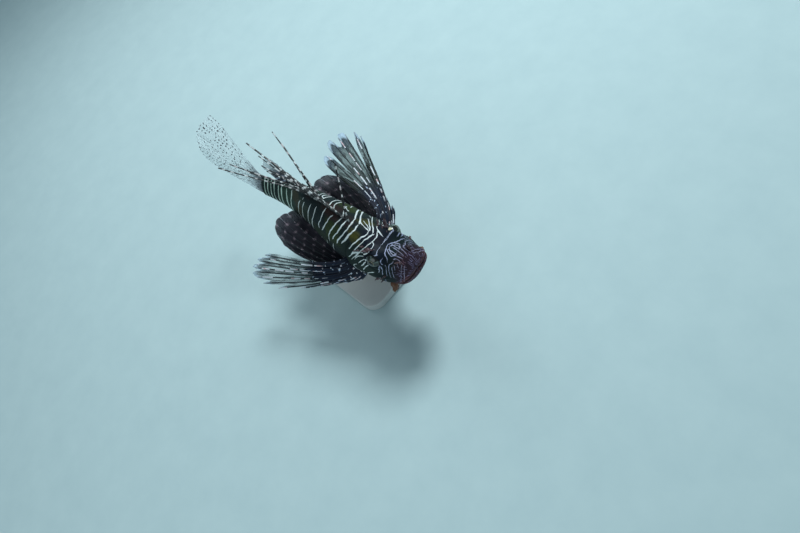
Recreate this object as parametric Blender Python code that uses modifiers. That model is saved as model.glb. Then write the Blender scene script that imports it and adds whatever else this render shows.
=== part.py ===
# Red lionfish, life size, swimming, held on a plain display stand.
# Metres, +Z up, the nose towards +X and the fish's left side towards +Y.
# The origin is the middle of the stand base's underside.
import math

import bpy
import bmesh
from mathutils import Matrix, Vector

# Driving sizes in metres. Body shapes below are in parts of LENGTH.
LENGTH = 0.220                  # the measure along the body, whose end is the end of the tail stalk
SNOUT = 0.020                   # the tip of the snout, in parts of LENGTH
FISH_AT = Vector((0.016, 0.0, 0.088))   # the middle of that length
GAP = 0.0003                    # left between parts that touch
SNOUT_ROUND = 0.0012            # the snout's end bulges this far

# The bend of the swimming body, in degrees
HEAD_TURN = 8.0                 # the head looks a little to its left
TAIL_TURN = 11.5                # the tail swings a little to the right
TAIL_LIFT = 8.0                 # the tail stalk rises
TAIL_ROLL = 26.0                # the top of the tail leans to the left

# Where one part of the body ends and the next begins, along the body
HEAD_END = 0.270
TRUNK_END = 0.810
STALK_END = 1.0
SIDES = 32                      # faces round the body
STALK_SIDES = 24

# Eyes
EYE_ALONG = 0.157
EYE_SIDE = 0.060
EYE_HIGH = 0.073
EYE_RADIUS = 0.0076
RIM_OUT = 0.0020                 # the rim of flesh lies this far out along the eye

# Gill covers, along the body and round it in degrees from the back
GILL_FROM = 0.208
GILL_TO = 0.314
GILL_TOP = 56.25
GILL_LOW = 123.75
GILL_SUNK = 0.0024              # depth of the hollow that a cover lies in
GILL_THICK = 0.0026

# Stand
BASE_LONG = 0.112
BASE_WIDE = 0.080
BASE_HIGH = 0.009
BASE_CORNER = 0.016
ROD_RADIUS = 0.0025
ROD_PLACES = {"stand_rod_front": 0.430, "stand_rod_rear": 0.630}


def ease(value, low, high):
    """0 below low, 1 above high and smooth between."""
    part = min(max((value - low) / (high - low), 0.0), 1.0)
    return part * part * (3.0 - 2.0 * part)


def hump(value, middle, width):
    """1 at the middle, falling smoothly to 0 at width on each side."""
    part = min(abs(value - middle) / width, 1.0)
    return (1.0 - part * part) ** 2


def smooth(*keys):
    """A smooth curve through keys of (place, value), where a value is a number or a vector."""
    places = [key[0] for key in keys]
    values = [key[1] for key in keys]
    last = len(keys) - 1
    slopes = []
    for i in range(last + 1):
        before, after = max(i - 1, 0), min(i + 1, last)
        slopes.append((values[after] - values[before]) / (places[after] - places[before]))

    def curve(place):
        place = min(max(place, places[0]), places[-1])
        i = min(max(k for k in range(last) if places[k] <= place), last - 1)
        span = places[i + 1] - places[i]
        u = (place - places[i]) / span
        start = values[i] * (2 * u ** 3 - 3 * u ** 2 + 1) + slopes[i] * (span * (u ** 3 - 2 * u ** 2 + u))
        end = values[i + 1] * (3 * u ** 2 - 2 * u ** 3) + slopes[i + 1] * (span * (u ** 3 - u ** 2))
        return start + end

    return curve


# The body's outline along its length: back, belly and half width
BACK = smooth((SNOUT, .012), (.023, .021), (.029, .030), (.039, .041), (.054, .055), (.084, .077), (.12, .100),
              (.16, .118), (.20, .131), (.25, .145), (.30, .158), (.36, .171), (.44, .178), (.52, .172),
              (.60, .157), (.70, .130), (.80, .095), (.88, .067), (.94, .056), (1.0, .054))
BELLY = smooth((SNOUT, -.024), (.023, -.036), (.029, -.048), (.039, -.060), (.054, -.074), (.084, -.096),
               (.12, -.117), (.20, -.150), (.30, -.177), (.40, -.186), (.50, -.180), (.60, -.160),
               (.70, -.126), (.80, -.088), (.88, -.065), (.94, -.056), (1.0, -.054))
HALF = smooth((SNOUT, .024), (.023, .038), (.029, .051), (.039, .062), (.054, .072), (.084, .083), (.12, .091),
              (.17, .097), (.25, .102), (.32, .103), (.40, .099), (.50, .089), (.60, .074), (.70, .057),
              (.80, .040), (.90, .026), (1.0, .0165))


def centre_line(steps=200):
    """Places and frames along the bent body: place, left and up at each step."""
    found = []
    place = Vector((0.0, 0.0, 0.0))
    for i in range(steps + 1):
        s = i / steps
        turn = math.radians(HEAD_TURN * (1.0 - ease(s, 0.1, 0.45)) + TAIL_TURN * ease(s, 0.55, 0.95))
        lift = math.radians(TAIL_LIFT * ease(s, 0.65, 1.0))
        roll = math.radians(TAIL_ROLL * ease(s, 0.5, 1.0))
        ahead = Vector((math.cos(turn) * math.cos(lift), math.sin(turn) * math.cos(lift), -math.sin(lift)))
        left = Vector((-math.sin(turn), math.cos(turn), 0.0))
        up = ahead.cross(left)
        leaning_up = up * math.cos(roll) + left * math.sin(roll)
        leaning_left = left * math.cos(roll) - up * math.sin(roll)
        found.append((place.copy(), leaning_left, leaning_up))
        place -= ahead * (LENGTH / steps)
    middle = found[steps // 2][0]
    return [(place - middle + FISH_AT, left, up) for place, left, up in found]


LINE = centre_line()


def at(s, y, z):
    """The place in space of a point of the straight fish: s along it, y to its left and z up."""
    step = min(max(s, 0.0), 1.0) * (len(LINE) - 1)
    i = min(int(step), len(LINE) - 2)
    part = step - i
    place = LINE[i][0].lerp(LINE[i + 1][0], part)
    left = LINE[i][1].lerp(LINE[i + 1][1], part)
    up = LINE[i][2].lerp(LINE[i + 1][2], part)
    return place + left * (y * LENGTH) + up * (z * LENGTH)


def reach(x, y, z):
    """A point in space given from the middle of the fish, in parts of LENGTH."""
    return FISH_AT + Vector((x, y, z)) * LENGTH


def skin(s, angle, raised=0.0):
    """A point of the skin: s along the body and angle round it, from the back over the left side."""
    back, belly, half = BACK(s), BELLY(s), HALF(s)
    side, rise = math.sin(angle), math.cos(angle)
    narrow = 1.0 - 0.16 * max(rise, 0.0)
    high = 0.5 * (back - belly)
    y = half * side * narrow
    z = 0.5 * (back + belly) + high * rise
    outward = Vector((side / half, rise / high)).normalized() * (raised / LENGTH)
    return at(s, y + outward.x, z + outward.y)


def skin_normal(s, angle):
    """The direction straight out of the skin."""
    along = skin(s + 0.004, angle) - skin(s - 0.004, angle)
    around = skin(s, angle + 0.02) - skin(s, angle - 0.02)
    return around.cross(along).normalized()


def relief(s, angle):
    """Height of the head's own form over the smooth outline, in metres."""
    degrees = abs(math.degrees(math.remainder(angle, 2 * math.pi)))
    brow = 0.0026 * hump(s, 0.157, 0.075) * hump(degrees, 34.0, 22.0)
    between = -0.0016 * hump(s, 0.145, 0.080) * hump(degrees, 0.0, 24.0)
    cheek = 0.0012 * hump(s, 0.150, 0.060) * hump(degrees, 112.0, 30.0)
    jaw = 0.0014 * hump(s, 0.080, 0.056) * hump(degrees, 150.0, 34.0)
    hollow = 0.0
    if GILL_FROM - 0.001 <= s <= GILL_TO + 0.001 and GILL_TOP - 0.1 <= degrees <= GILL_LOW + 0.1:
        hollow = -GILL_SUNK
    return brow + between + cheek + jaw + hollow


def make_material(name, colour, roughness, metallic=0.0):
    """A plain material for one part."""
    material = bpy.data.materials.new(name)
    material.use_nodes = True
    shader = material.node_tree.nodes["Principled BSDF"]
    shader.inputs["Base Color"].default_value = (*colour, 1.0)
    shader.inputs["Roughness"].default_value = roughness
    shader.inputs["Metallic"].default_value = metallic
    return material


def new_collection(name):
    """A collection linked to the scene."""
    collection = bpy.data.collections.new(name)
    bpy.context.scene.collection.children.link(collection)
    return collection


def add_object(name, mesh, material, collection):
    """An object for a mesh, with its material."""
    body = bpy.data.objects.new(name, mesh)
    if material is not None:
        mesh.materials.append(material)
    collection.objects.link(body)
    return body


def mesh_from(name, points, faces):
    """A mesh of the points and faces."""
    mesh = bpy.data.meshes.new(name)
    mesh.from_pydata([tuple(point) for point in points], [], faces)
    mesh.update()
    return mesh


def loft(name, rings, ends, material, collection, smooth_shade=True):
    """A closed body through rings of equal count, with a fan to a point at each end."""
    count = len(rings[0])
    points = [point for ring in rings for point in ring] + list(ends)
    faces = []
    for k in range(len(rings) - 1):
        for i in range(count):
            j = (i + 1) % count
            low, high = k * count, (k + 1) * count
            faces.append((low + i, high + i, high + j))
            faces.append((low + i, high + j, low + j))
    first, last = len(points) - 2, len(points) - 1
    top = (len(rings) - 1) * count
    for i in range(count):
        j = (i + 1) % count
        faces.append((first, i, j))
        faces.append((last, top + j, top + i))
    mesh = mesh_from(name, points, faces)
    tidy = bmesh.new()
    tidy.from_mesh(mesh)
    bmesh.ops.recalc_face_normals(tidy, faces=tidy.faces)
    tidy.to_mesh(mesh)
    tidy.free()
    body = add_object(name, mesh, material, collection)
    if smooth_shade:
        mesh.shade_smooth()
    return body


def body_rings(places, sides):
    """Rings of skin points at the places along the body."""
    rings = []
    for s in places:
        ring = []
        for i in range(sides):
            angle = 2 * math.pi * i / sides
            ring.append(skin(s, angle, relief(s, angle)))
        rings.append(ring)
    return rings


def ring_middle(ring):
    """The mean of a ring's points."""
    return sum(ring, Vector()) / len(ring)


def sheet(name, columns, links, thickness, material, collection):
    """A thin closed sheet. Each column is a list of (point, part of the thickness); links says how many
    rows join a column to the next, so that rays run free past the web. Solidify gives both faces the
    same triangles."""
    used = {}
    points, weights, faces = [], [], []

    def index(column, row):
        if (column, row) not in used:
            used[(column, row)] = len(points)
            point, weight = columns[column][row]
            points.append(point)
            weights.append(weight)
        return used[(column, row)]

    for column, rows in enumerate(links):
        for row in range(rows):
            a, b = index(column, row), index(column + 1, row)
            c, d = index(column + 1, row + 1), index(column, row + 1)
            faces.append((a, b, c))
            faces.append((a, c, d))
    mesh = mesh_from(name, points, faces)
    body = add_object(name, mesh, material, collection)
    group = body.vertex_groups.new(name="thickness")
    for i, weight in enumerate(weights):
        group.add([i], weight, 'REPLACE')
    solid = body.modifiers.new("Thickness", 'SOLIDIFY')
    solid.thickness = thickness
    solid.offset = 0.0
    solid.use_rim = True
    solid.vertex_group = "thickness"
    solid.thickness_vertex_group = 0.0
    mesh.shade_smooth()
    return body


def ray_path(root, leave, tip, bow, t, lift=0.16):
    """A point of a fin ray: it leaves the skin straight out and bends round to its tip."""
    length = (tip - root).length
    first = root + leave * (lift * length)
    second = root.lerp(tip, 0.62) + bow
    u = 1.0 - t
    return root * u ** 3 + first * (3 * u * u * t) + second * (3 * u * t * t) + tip * t ** 3


def towards(point, other, part, most):
    """A point moved towards another by a part of their distance, but no further than most."""
    way = other - point
    distance = way.length
    if distance < 1e-9:
        return point.copy()
    return point + way * (min(part * distance, most) / distance)


def free_rays(name, rays, rows, web_rows, vane, sizes, material, collection):
    """A fin whose rays run on past the web, each with a narrow vane. rays holds a list of points per ray;
    vane gives the vane's width ahead of the ray and behind it at a part of its length."""
    columns, links = [], []
    for j, ray in enumerate(rays):
        before = rays[j - 1] if j > 0 else [2 * p - q for p, q in zip(ray, rays[1])]
        after = rays[j + 1] if j < len(rays) - 1 else [2 * p - q for p, q in zip(ray, rays[-2])]
        front, middle, rear = [], [], []
        for row, point in enumerate(ray):
            t = row / rows
            ahead, behind = vane(t)
            rib = sizes["root"] + (sizes["tip"] - sizes["root"]) * t ** 0.7
            edge = sizes["web"] + (sizes["tip"] - sizes["web"]) * t
            front.append((towards(point, before[row], 0.32, ahead), edge))
            middle.append((point, rib))
            rear.append((towards(point, after[row], 0.32, behind), edge))
        columns += [front, middle, rear]
        links += [rows, rows]
        if j < len(rays) - 1:
            links.append(web_rows(j))
    thickest = max(sizes.values())
    scaled = [[(point, size / thickest) for point, size in column] for column in columns]
    return sheet(name, scaled, links, thickest, material, collection)


def webbed_rays(name, rays, rows, notch, sizes, material, collection):
    """A fin whose web runs out to the ray tips, with a shallow notch between them."""
    columns = []
    for j, ray in enumerate(rays):
        ribs = []
        for row, point in enumerate(ray):
            ribs.append((point, sizes["root"] + (sizes["tip"] - sizes["root"]) * (row / rows) ** 0.7))
        columns.append(ribs)
        if j == len(rays) - 1:
            break
        valley = []
        for row in range(rows + 1):
            reached = row / rows * (1.0 - notch) * (len(ray) - 1)
            k = min(int(reached), rows - 1)
            mine = ray[k].lerp(ray[k + 1], reached - k)
            other = rays[j + 1][k].lerp(rays[j + 1][k + 1], reached - k)
            web = sizes["web"] + (sizes["tip"] - sizes["web"]) * row / rows
            if row == 0:
                web = sizes["root"] * 0.8
            valley.append((mine.lerp(other, 0.5), web))
        columns.append(valley)
    links = [rows] * (len(columns) - 1)
    thickest = max(sizes.values())
    scaled = [[(point, size / thickest) for point, size in column] for column in columns]
    return sheet(name, scaled, links, thickest, material, collection)


def evaluated_mesh(body):
    """The object's mesh as its modifiers leave it."""
    graph = bpy.context.evaluated_depsgraph_get()
    graph.update()
    return bpy.data.meshes.new_from_object(body.evaluated_get(graph))


def tube(name, points, radii, collection, resolution=1):
    """A closed tapered tube along the points."""
    data = bpy.data.curves.new(name, 'CURVE')
    data.dimensions = '3D'
    data.bevel_depth = 1.0
    data.bevel_resolution = resolution
    data.use_fill_caps = True
    line = data.splines.new('POLY')
    line.points.add(len(points) - 1)
    for knot, point, radius in zip(line.points, points, radii):
        knot.co = (*point, 1.0)
        knot.radius = radius
    source = bpy.data.objects.new(name + "_curve", data)
    collection.objects.link(source)
    mesh = evaluated_mesh(source)
    bpy.data.objects.remove(source)
    weld = bmesh.new()
    weld.from_mesh(mesh)
    bmesh.ops.remove_doubles(weld, verts=weld.verts, dist=1e-6)
    bmesh.ops.recalc_face_normals(weld, faces=weld.faces)
    weld.to_mesh(mesh)
    weld.free()
    return add_object(name, mesh, None, collection)


def keep_largest(body):
    """Keep only the largest closed surface of a mesh."""
    work = bmesh.new()
    work.from_mesh(body.data)
    left_over = set(work.verts)
    groups = []
    while left_over:
        start = left_over.pop()
        group, queue = {start}, [start]
        while queue:
            for edge in queue.pop().link_edges:
                for vert in edge.verts:
                    if vert in left_over:
                        left_over.remove(vert)
                        group.add(vert)
                        queue.append(vert)
        groups.append(group)
    biggest = max(groups, key=len)
    extra = [vert for vert in work.verts if vert not in biggest]
    bmesh.ops.delete(work, geom=extra, context='VERTS')
    work.to_mesh(body.data)
    work.free()


def apply_boolean(body, operation, collection, solver='EXACT'):
    """Join or cut a body with every object of a collection, then remove them."""
    change = body.modifiers.new("Join", 'BOOLEAN')
    change.operation = operation
    change.operand_type = 'COLLECTION'
    change.collection = collection
    change.solver = solver
    mesh = evaluated_mesh(body)
    body.modifiers.clear()
    body.data = mesh
    for other in list(collection.objects):
        bpy.data.objects.remove(other)
    bpy.data.collections.remove(collection)
    keep_largest(body)


def ball(name, middle, radius, collection, material=None, detail=3):
    """A closed sphere of even triangles."""
    work = bmesh.new()
    bmesh.ops.create_icosphere(work, subdivisions=detail, radius=radius)
    bmesh.ops.translate(work, verts=work.verts, vec=middle)
    mesh = bpy.data.meshes.new(name)
    work.to_mesh(mesh)
    work.free()
    mesh.shade_smooth()
    return add_object(name, mesh, material, collection)


def eye_middle(side):
    """The middle of an eye; side is 1 on the left and -1 on the right."""
    return at(EYE_ALONG, side * EYE_SIDE, EYE_HIGH)


def eye_axis(side):
    """The way an eye looks: out, a little up and ahead."""
    out = at(EYE_ALONG - 0.02, side * (EYE_SIDE + 0.1), EYE_HIGH + 0.032)
    return (out - eye_middle(side)).normalized()


def eye_rim(side, collection):
    """The raised rim of flesh round an eye."""
    axis = eye_axis(side)
    across = axis.cross(Vector((0.0, 0.0, 1.0))).normalized()
    upward = across.cross(axis).normalized()
    points, radii = [], []
    turns = 14
    for i in range(turns):
        angle = 2 * math.pi * i / turns
        around = across * math.cos(angle) + upward * math.sin(angle)
        points.append(eye_middle(side) + axis * RIM_OUT + around * (EYE_RADIUS + 0.0004))
        radii.append(0.0019 + 0.0006 * math.sin(angle))
    work = bmesh.new()
    sides = 6
    rings = []
    for point, radius in zip(points, radii):
        around = (point - eye_middle(side) - axis * RIM_OUT).normalized()
        ring = []
        for k in range(sides):
            angle = 2 * math.pi * k / sides
            ring.append(work.verts.new(point + (around * math.cos(angle) + axis * math.sin(angle)) * radius))
        rings.append(ring)
    for i in range(turns):
        ring, following = rings[i], rings[(i + 1) % turns]
        for k in range(sides):
            m = (k + 1) % sides
            work.faces.new((ring[k], following[k], following[m], ring[m]))
    bmesh.ops.recalc_face_normals(work, faces=work.faces)
    mesh = bpy.data.meshes.new("eye_rim")
    work.to_mesh(mesh)
    work.free()
    return add_object("eye_rim", mesh, None, collection)


def mouth_point(t, drop):
    """A point of the line of the mouth, from the right corner at -1 round the snout to the left at 1."""
    bend = 1.0 - math.cos(t * math.pi / 2)
    s = SNOUT + 0.003 + 0.090 * bend ** 0.85
    z = -0.004 - 0.064 * bend - drop
    back, belly, half = BACK(s), BELLY(s), HALF(s)
    high, middle = 0.5 * (back - belly), 0.5 * (back + belly)
    inside = max(1.0 - ((z - middle) / high) ** 2, 0.0)
    full = half * math.sqrt(inside)
    y = full * math.copysign(min(abs(t) / 0.34, 1.0) ** 0.75, t)
    return at(s, y, z)


def leaf(name, root, tip, across, width, thickness, collection, rows=5):
    """A flat flap of skin with a rounded end and a wavy edge, from a root inside the head."""
    length = (tip - root).length
    columns = []
    for side in (-1.0, 0.0, 1.0):
        column = []
        for row in range(rows + 1):
            t = row / rows
            spread = width * (0.35 + 0.65 * math.sin(math.pi * min(t * 0.78 + 0.08, 1.0)))
            spread *= 1.0 + 0.12 * math.sin(7.0 * t + side)
            if row == rows:
                spread = width * 0.5
            lag = 0.10 * length * abs(side) * t
            point = root.lerp(tip, t) + across * (side * spread * 0.5) - (tip - root).normalized() * lag
            column.append((point, 1.0 if side == 0.0 else 0.6))
        columns.append(column)
    body = sheet(name, columns, [rows, rows], thickness, None, collection)
    mesh = evaluated_mesh(body)
    body.modifiers.clear()
    body.data = mesh
    return body


def add_head(fish, flesh):
    """The head with its jaws, lips, nostrils, eye rims, spines and skin flaps."""
    places = [SNOUT, .023, .029, .039, .054, .072, .091, .111, .130, .150, .169,
              GILL_FROM - 0.007, GILL_FROM, .223, .239, .254, HEAD_END]
    rings = body_rings(places, SIDES)
    ends = (at(SNOUT, 0.0, -0.006) + Vector((SNOUT_ROUND, 0.0, 0.0)), ring_middle(rings[-1]))
    head = loft("head", rings, ends, flesh, fish)
    extras = new_collection("head_pieces")
    for part, drop, radius in (("lip_upper", -0.010, 0.0022), ("lip_lower", 0.011, 0.0024)):
        count = 15
        points, radii = [], []
        for i in range(count):
            t = -1.0 + 2.0 * i / (count - 1)
            points.append(mouth_point(t, drop * (1.0 - 0.55 * t * t)))
            radii.append(radius * (1.0 - 0.45 * t * t))
        tube(part, points, radii, extras)
    for side in (-1, 1):
        eye_rim(side, extras)
        add_head_details(side, extras)
    apply_boolean(head, 'UNION', extras)
    sockets = new_collection("sockets")
    for side in (-1, 1):
        ball("socket", eye_middle(side), EYE_RADIUS + GAP, sockets)
    apply_boolean(head, 'DIFFERENCE', sockets)
    head.data.materials.clear()
    head.data.materials.append(flesh)
    return head


def add_head_details(side, extras):
    """Nostrils, spines and skin flaps on one side of the head."""
    nostril = skin(0.077, side * math.radians(34))
    out = skin_normal(0.077, side * math.radians(34))
    tube("nostril", [nostril - out * 0.002, nostril + out * 0.0016], [0.0017, 0.0013], extras)
    # Small spines of the head: brow, temple, cheek and the edge of the cheek plate
    spines = ((.118, 36, .0042), (.176, 30, .0046), (.205, 34, .0040), (.120, 84, .0030),
              (.178, 104, .0040), (.180, 122, .0042), (.172, 138, .0040))
    for s, degrees, height in spines:
        angle = side * math.radians(degrees)
        foot, out = skin(s, angle), skin_normal(s, angle)
        rearward = (skin(s + 0.03, angle) - foot).normalized()
        points = [foot - out * 0.003, foot + out * height * 0.3,
                  foot + out * height * 0.8 + rearward * height * 0.7]
        tube("head_spine", points, [0.0016, 0.0012, 0.0003], extras, resolution=0)
    # Flaps: over the eye, beside the nostril, at the corner of the mouth and on the cheek's lower edge
    flaps = ((.160, 30, .0125, 28, .0044), (.058, 30, .0060, 50, .0026), (.116, 124, .0085, 14, .0100),
             (.150, 146, .0095, 8, .0050))
    for s, degrees, length, lean, width in flaps:
        angle = side * math.radians(degrees)
        foot, out = skin(s, angle), skin_normal(s, angle)
        rearward = (skin(s + 0.03, angle) - foot).normalized()
        way = (out * math.cos(math.radians(lean)) + rearward * math.sin(math.radians(lean))).normalized()
        across = way.cross(out.cross(rearward)).normalized()
        leaf("flap", foot - way * 0.004, foot + way * length, across, width, 0.0012, extras)


def add_gill_cover(name, side, fish, flesh):
    """A gill cover: a plate with a rounded rear edge, laid in its hollow on the head's side."""
    rows, count = 6, 6
    columns = []
    lift = GILL_THICK / 2 - GILL_SUNK + 0.0005
    for i in range(count + 1):
        v = i / count
        degrees = GILL_TOP + (GILL_LOW - GILL_TOP) * v
        swell = 1.0 - 0.26 * abs(2 * v - 1) ** 2.4
        column = []
        for row in range(rows + 1):
            u = row / rows
            s = GILL_FROM + 0.004 + (GILL_TO - GILL_FROM - 0.006) * u * swell
            angle = side * math.radians(90.0 + (degrees - 90.0) * (0.97 - 0.16 * u ** 3))
            weight = 1.0 - 0.35 * u ** 2
            column.append((skin(s, angle, lift), weight))
        columns.append(column)
    return sheet(name, columns, [rows] * count, GILL_THICK, flesh, fish)


def add_trunk(fish, flesh):
    """The body from behind the head to the tail stalk."""
    places = [HEAD_END, .288, GILL_TO, GILL_TO + 0.007, .335, .370, .410, .450, .490, .530, .570, .610, .650,
              .690, .730, .770, TRUNK_END]
    places[0] += GAP / LENGTH
    rings = body_rings(places, SIDES)
    return loft("body", rings, (ring_middle(rings[0]), ring_middle(rings[-1])), flesh, fish)


def add_stalk(fish, flesh):
    """The tail stalk."""
    places = [TRUNK_END + GAP / LENGTH, .840, .875, .910, .945, .975, STALK_END]
    rings = body_rings(places, STALK_SIDES)
    return loft("tail_stalk", rings, (ring_middle(rings[0]), ring_middle(rings[-1])), flesh, fish)


# Spiny part of the dorsal fin: each spine's place along the back, its length in parts of LENGTH,
# how far it rakes back from upright and how far it leans to the left, in degrees
SPINES = ((.300, .235, 45, 38), (.330, .235, 70, 4), (.360, .285, 66, 2), (.390, .450, 58, -1),
          (.420, .395, 59, 14), (.450, .325, 64, 16), (.480, .345, 68, -1), (.510, .300, 70, 2),
          (.540, .405, 57, -23), (.570, .360, 60, -19), (.600, .275, 65, -20), (.630, .220, 66, -9),
          (.662, .180, 72, -11))


def back_root(s):
    """A point just over the back, with the way up there."""
    up = (at(s, 0.0, 1.0) - at(s, 0.0, 0.0)).normalized()
    return at(s, 0.0, BACK(s)) + up * GAP, up


def add_spiny_dorsal(fish, flesh):
    """Thirteen long spines that rise free from a low web, leaning to alternate sides."""
    rows = 8
    rays = []
    for s, length, rake, lean in SPINES:
        root, up = back_root(s)
        left = (at(s, 1.0, 0.0) - at(s, 0.0, 0.0)).normalized()
        rearward = up.cross(left).normalized()
        rearward = rearward if rearward.x < 0 else -rearward
        rise = up * math.cos(math.radians(rake)) + rearward * math.sin(math.radians(rake))
        way = (rise * math.cos(math.radians(lean)) + left * math.sin(math.radians(lean))).normalized()
        tip = root + way * (length * LENGTH)
        rays.append([ray_path(root, up, tip, Vector(), row / rows) for row in range(rows + 1)])

    def vane(t):
        return 0.0011 * (1.0 - 0.85 * t), 0.0034 * (1.0 - 0.88 * t ** 1.5)

    sizes = {"root": 0.0030, "tip": 0.0007, "web": 0.0009}
    return free_rays("fin_dorsal_spiny", rays, rows, lambda j: 1, vane, sizes, flesh, fish)


def median_fin(name, places, edge, lengths, rakes, lean, rows, sizes, fish, flesh):
    """A soft fin on the midline of the back or belly; edge is 1 on the back and -1 on the belly."""
    outline = BACK if edge > 0 else BELLY
    rays = []
    for i, s in enumerate(places):
        part = i / (len(places) - 1)
        up = (at(s, 0.0, 1.0) - at(s, 0.0, 0.0)).normalized() * edge
        left = (at(s, 1.0, 0.0) - at(s, 0.0, 0.0)).normalized()
        rearward = (at(min(s + 0.02, 1.0), 0.0, 0.0) - at(s - 0.02, 0.0, 0.0)).normalized()
        slope = (at(s + 0.01, 0.0, outline(s + 0.01)) - at(s - 0.01, 0.0, outline(s - 0.01))).normalized()
        out = left.cross(slope)
        out = out.normalized() if out.dot(up) > 0 else -out.normalized()
        root = at(s, 0.0, outline(s)) + out * GAP
        rake, swing = math.radians(rakes(part)), math.radians(lean)
        way = up * math.cos(rake) + rearward * math.sin(rake)
        way = (way * math.cos(swing) + left * math.sin(swing)).normalized()
        tip = root + way * (lengths(part) * LENGTH)
        rays.append([ray_path(root, out, tip, Vector(), row / rows) for row in range(rows + 1)])
    return webbed_rays(name, rays, rows, 0.03, sizes, flesh, fish)


def spread(first, last, count):
    """Even steps from first to last."""
    return [first + (last - first) * i / (count - 1) for i in range(count)]


def add_caudal(fish, flesh):
    """The tail fin, half open, swept up and turned a little on its side."""
    tips = smooth((0.0, reach(-.842, .038, .262)), (.12, reach(-.864, -.008, .255)),
                  (.25, reach(-.870, -.058, .240)), (.5, reach(-.830, -.106, .198)),
                  (.75, reach(-.806, -.122, .146)), (1.0, reach(-.766, -.114, .082)))
    rays = []
    rows = 7
    count = 13
    end = (at(1.0, 0.0, 0.0) - at(0.99, 0.0, 0.0)).normalized()
    upward = (at(1.0, 0.0, 1.0) - at(1.0, 0.0, 0.0)).normalized()
    for i in range(count):
        part = i / (count - 1)
        root = at(1.0, 0.0, 0.047 - 0.094 * part) + end * GAP
        bow = upward * (0.012 * (1.0 - float(ease(part, 0.0, 0.45))))
        rays.append([ray_path(root, end, tips(part), bow, row / rows) for row in range(rows + 1)])
    sizes = {"root": 0.0040, "tip": 0.0005, "web": 0.0009}
    return webbed_rays("fin_caudal", rays, rows, 0.012, sizes, flesh, fish)


# Tips of the paired fins, from the top ray to the lowest, in parts of LENGTH from the fish's middle
PECTORAL_TIPS = {
    "left": smooth((0.0, Vector((-.250, .180, .070))), (0.2, Vector((-.310, .275, .080))),
                   (0.38, Vector((-.330, .365, .040))), (0.52, Vector((-.300, .422, .000))),
                   (0.60, Vector((-.225, .350, -.026))), (0.69, Vector((-.106, .270, -.056))),
                   (0.80, Vector((-.050, .262, -.076))), (1.0, Vector((.066, .227, -.110)))),
    "right": smooth((0.0, Vector((-.290, -.305, -.060))), (0.2, Vector((-.310, -.355, -.075))),
                    (0.4, Vector((-.315, -.400, -.105))), (0.55, Vector((-.240, -.412, -.130))),
                    (0.62, Vector((-.158, -.380, -.145))), (0.70, Vector((-.062, -.308, -.160))),
                    (0.80, Vector((.010, -.230, -.190))), (1.0, Vector((.107, -.110, -.235)))),
}
PELVIC_TIPS = {
    "left": smooth((0.0, Vector((-.150, .235, -.130))), (0.35, Vector((-.268, .208, -.095))),
                   (0.65, Vector((-.295, .160, -.030))), (1.0, Vector((-.302, .088, -.025)))),
    "right": smooth((0.0, Vector((-.160, -.200, -.120))), (0.2, Vector((-.240, -.208, -.080))),
                    (0.4, Vector((-.278, -.192, -.035))), (0.7, Vector((-.300, -.142, .004))),
                    (1.0, Vector((-.268, -.090, .012)))),
}


def add_pectoral(name, side, tips, fish, flesh):
    """A pectoral fin: a dark web near the body and long free rays with narrow vanes."""
    rows, count = 11, 14
    rays = []
    for i in range(count):
        part = i / (count - 1)
        s = 0.322 - 0.014 * part
        angle = side * math.radians(82.0 + 52.0 * part)
        root, out = skin(s, angle, GAP), skin_normal(s, angle)
        tip = reach(*tips(part))
        bow = Vector((0.0, side * 0.004, -0.002))
        rays.append([ray_path(root, out, tip, bow, row / rows) for row in range(rows + 1)])

    def web(j):
        return 5 if j < 9 else 6 + (j - 9)

    def vane(t):
        width = 0.0016 + 0.0026 * math.sin(math.pi * min(t * 1.05, 1.0))
        return width * (1.0 - t ** 6) + 0.0003, width * 1.25 * (1.0 - t ** 6) + 0.0003

    sizes = {"root": 0.0026, "tip": 0.0006, "web": 0.0008}
    return free_rays(name, rays, rows, web, vane, sizes, flesh, fish)


def add_pelvic(name, side, tips, fish, flesh):
    """A pelvic fin: a spine and five rays in a broad dark web."""
    rows, count = 8, 6
    rays = []
    for i in range(count):
        part = i / (count - 1)
        s = 0.335 + 0.022 * part
        angle = side * math.radians(157.0 + 11.0 * part)
        root, out = skin(s, angle, GAP), skin_normal(s, angle)
        tip = reach(*tips(part))
        bow = Vector((0.0, side * (0.008 + 0.009 * part), -0.004))
        rays.append([ray_path(root, out, tip, bow, row / rows, 0.24) for row in range(rows + 1)])
    sizes = {"root": 0.0026, "tip": 0.0006, "web": 0.0009}
    return webbed_rays(name, rays, rows, 0.0, sizes, flesh, fish)


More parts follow.
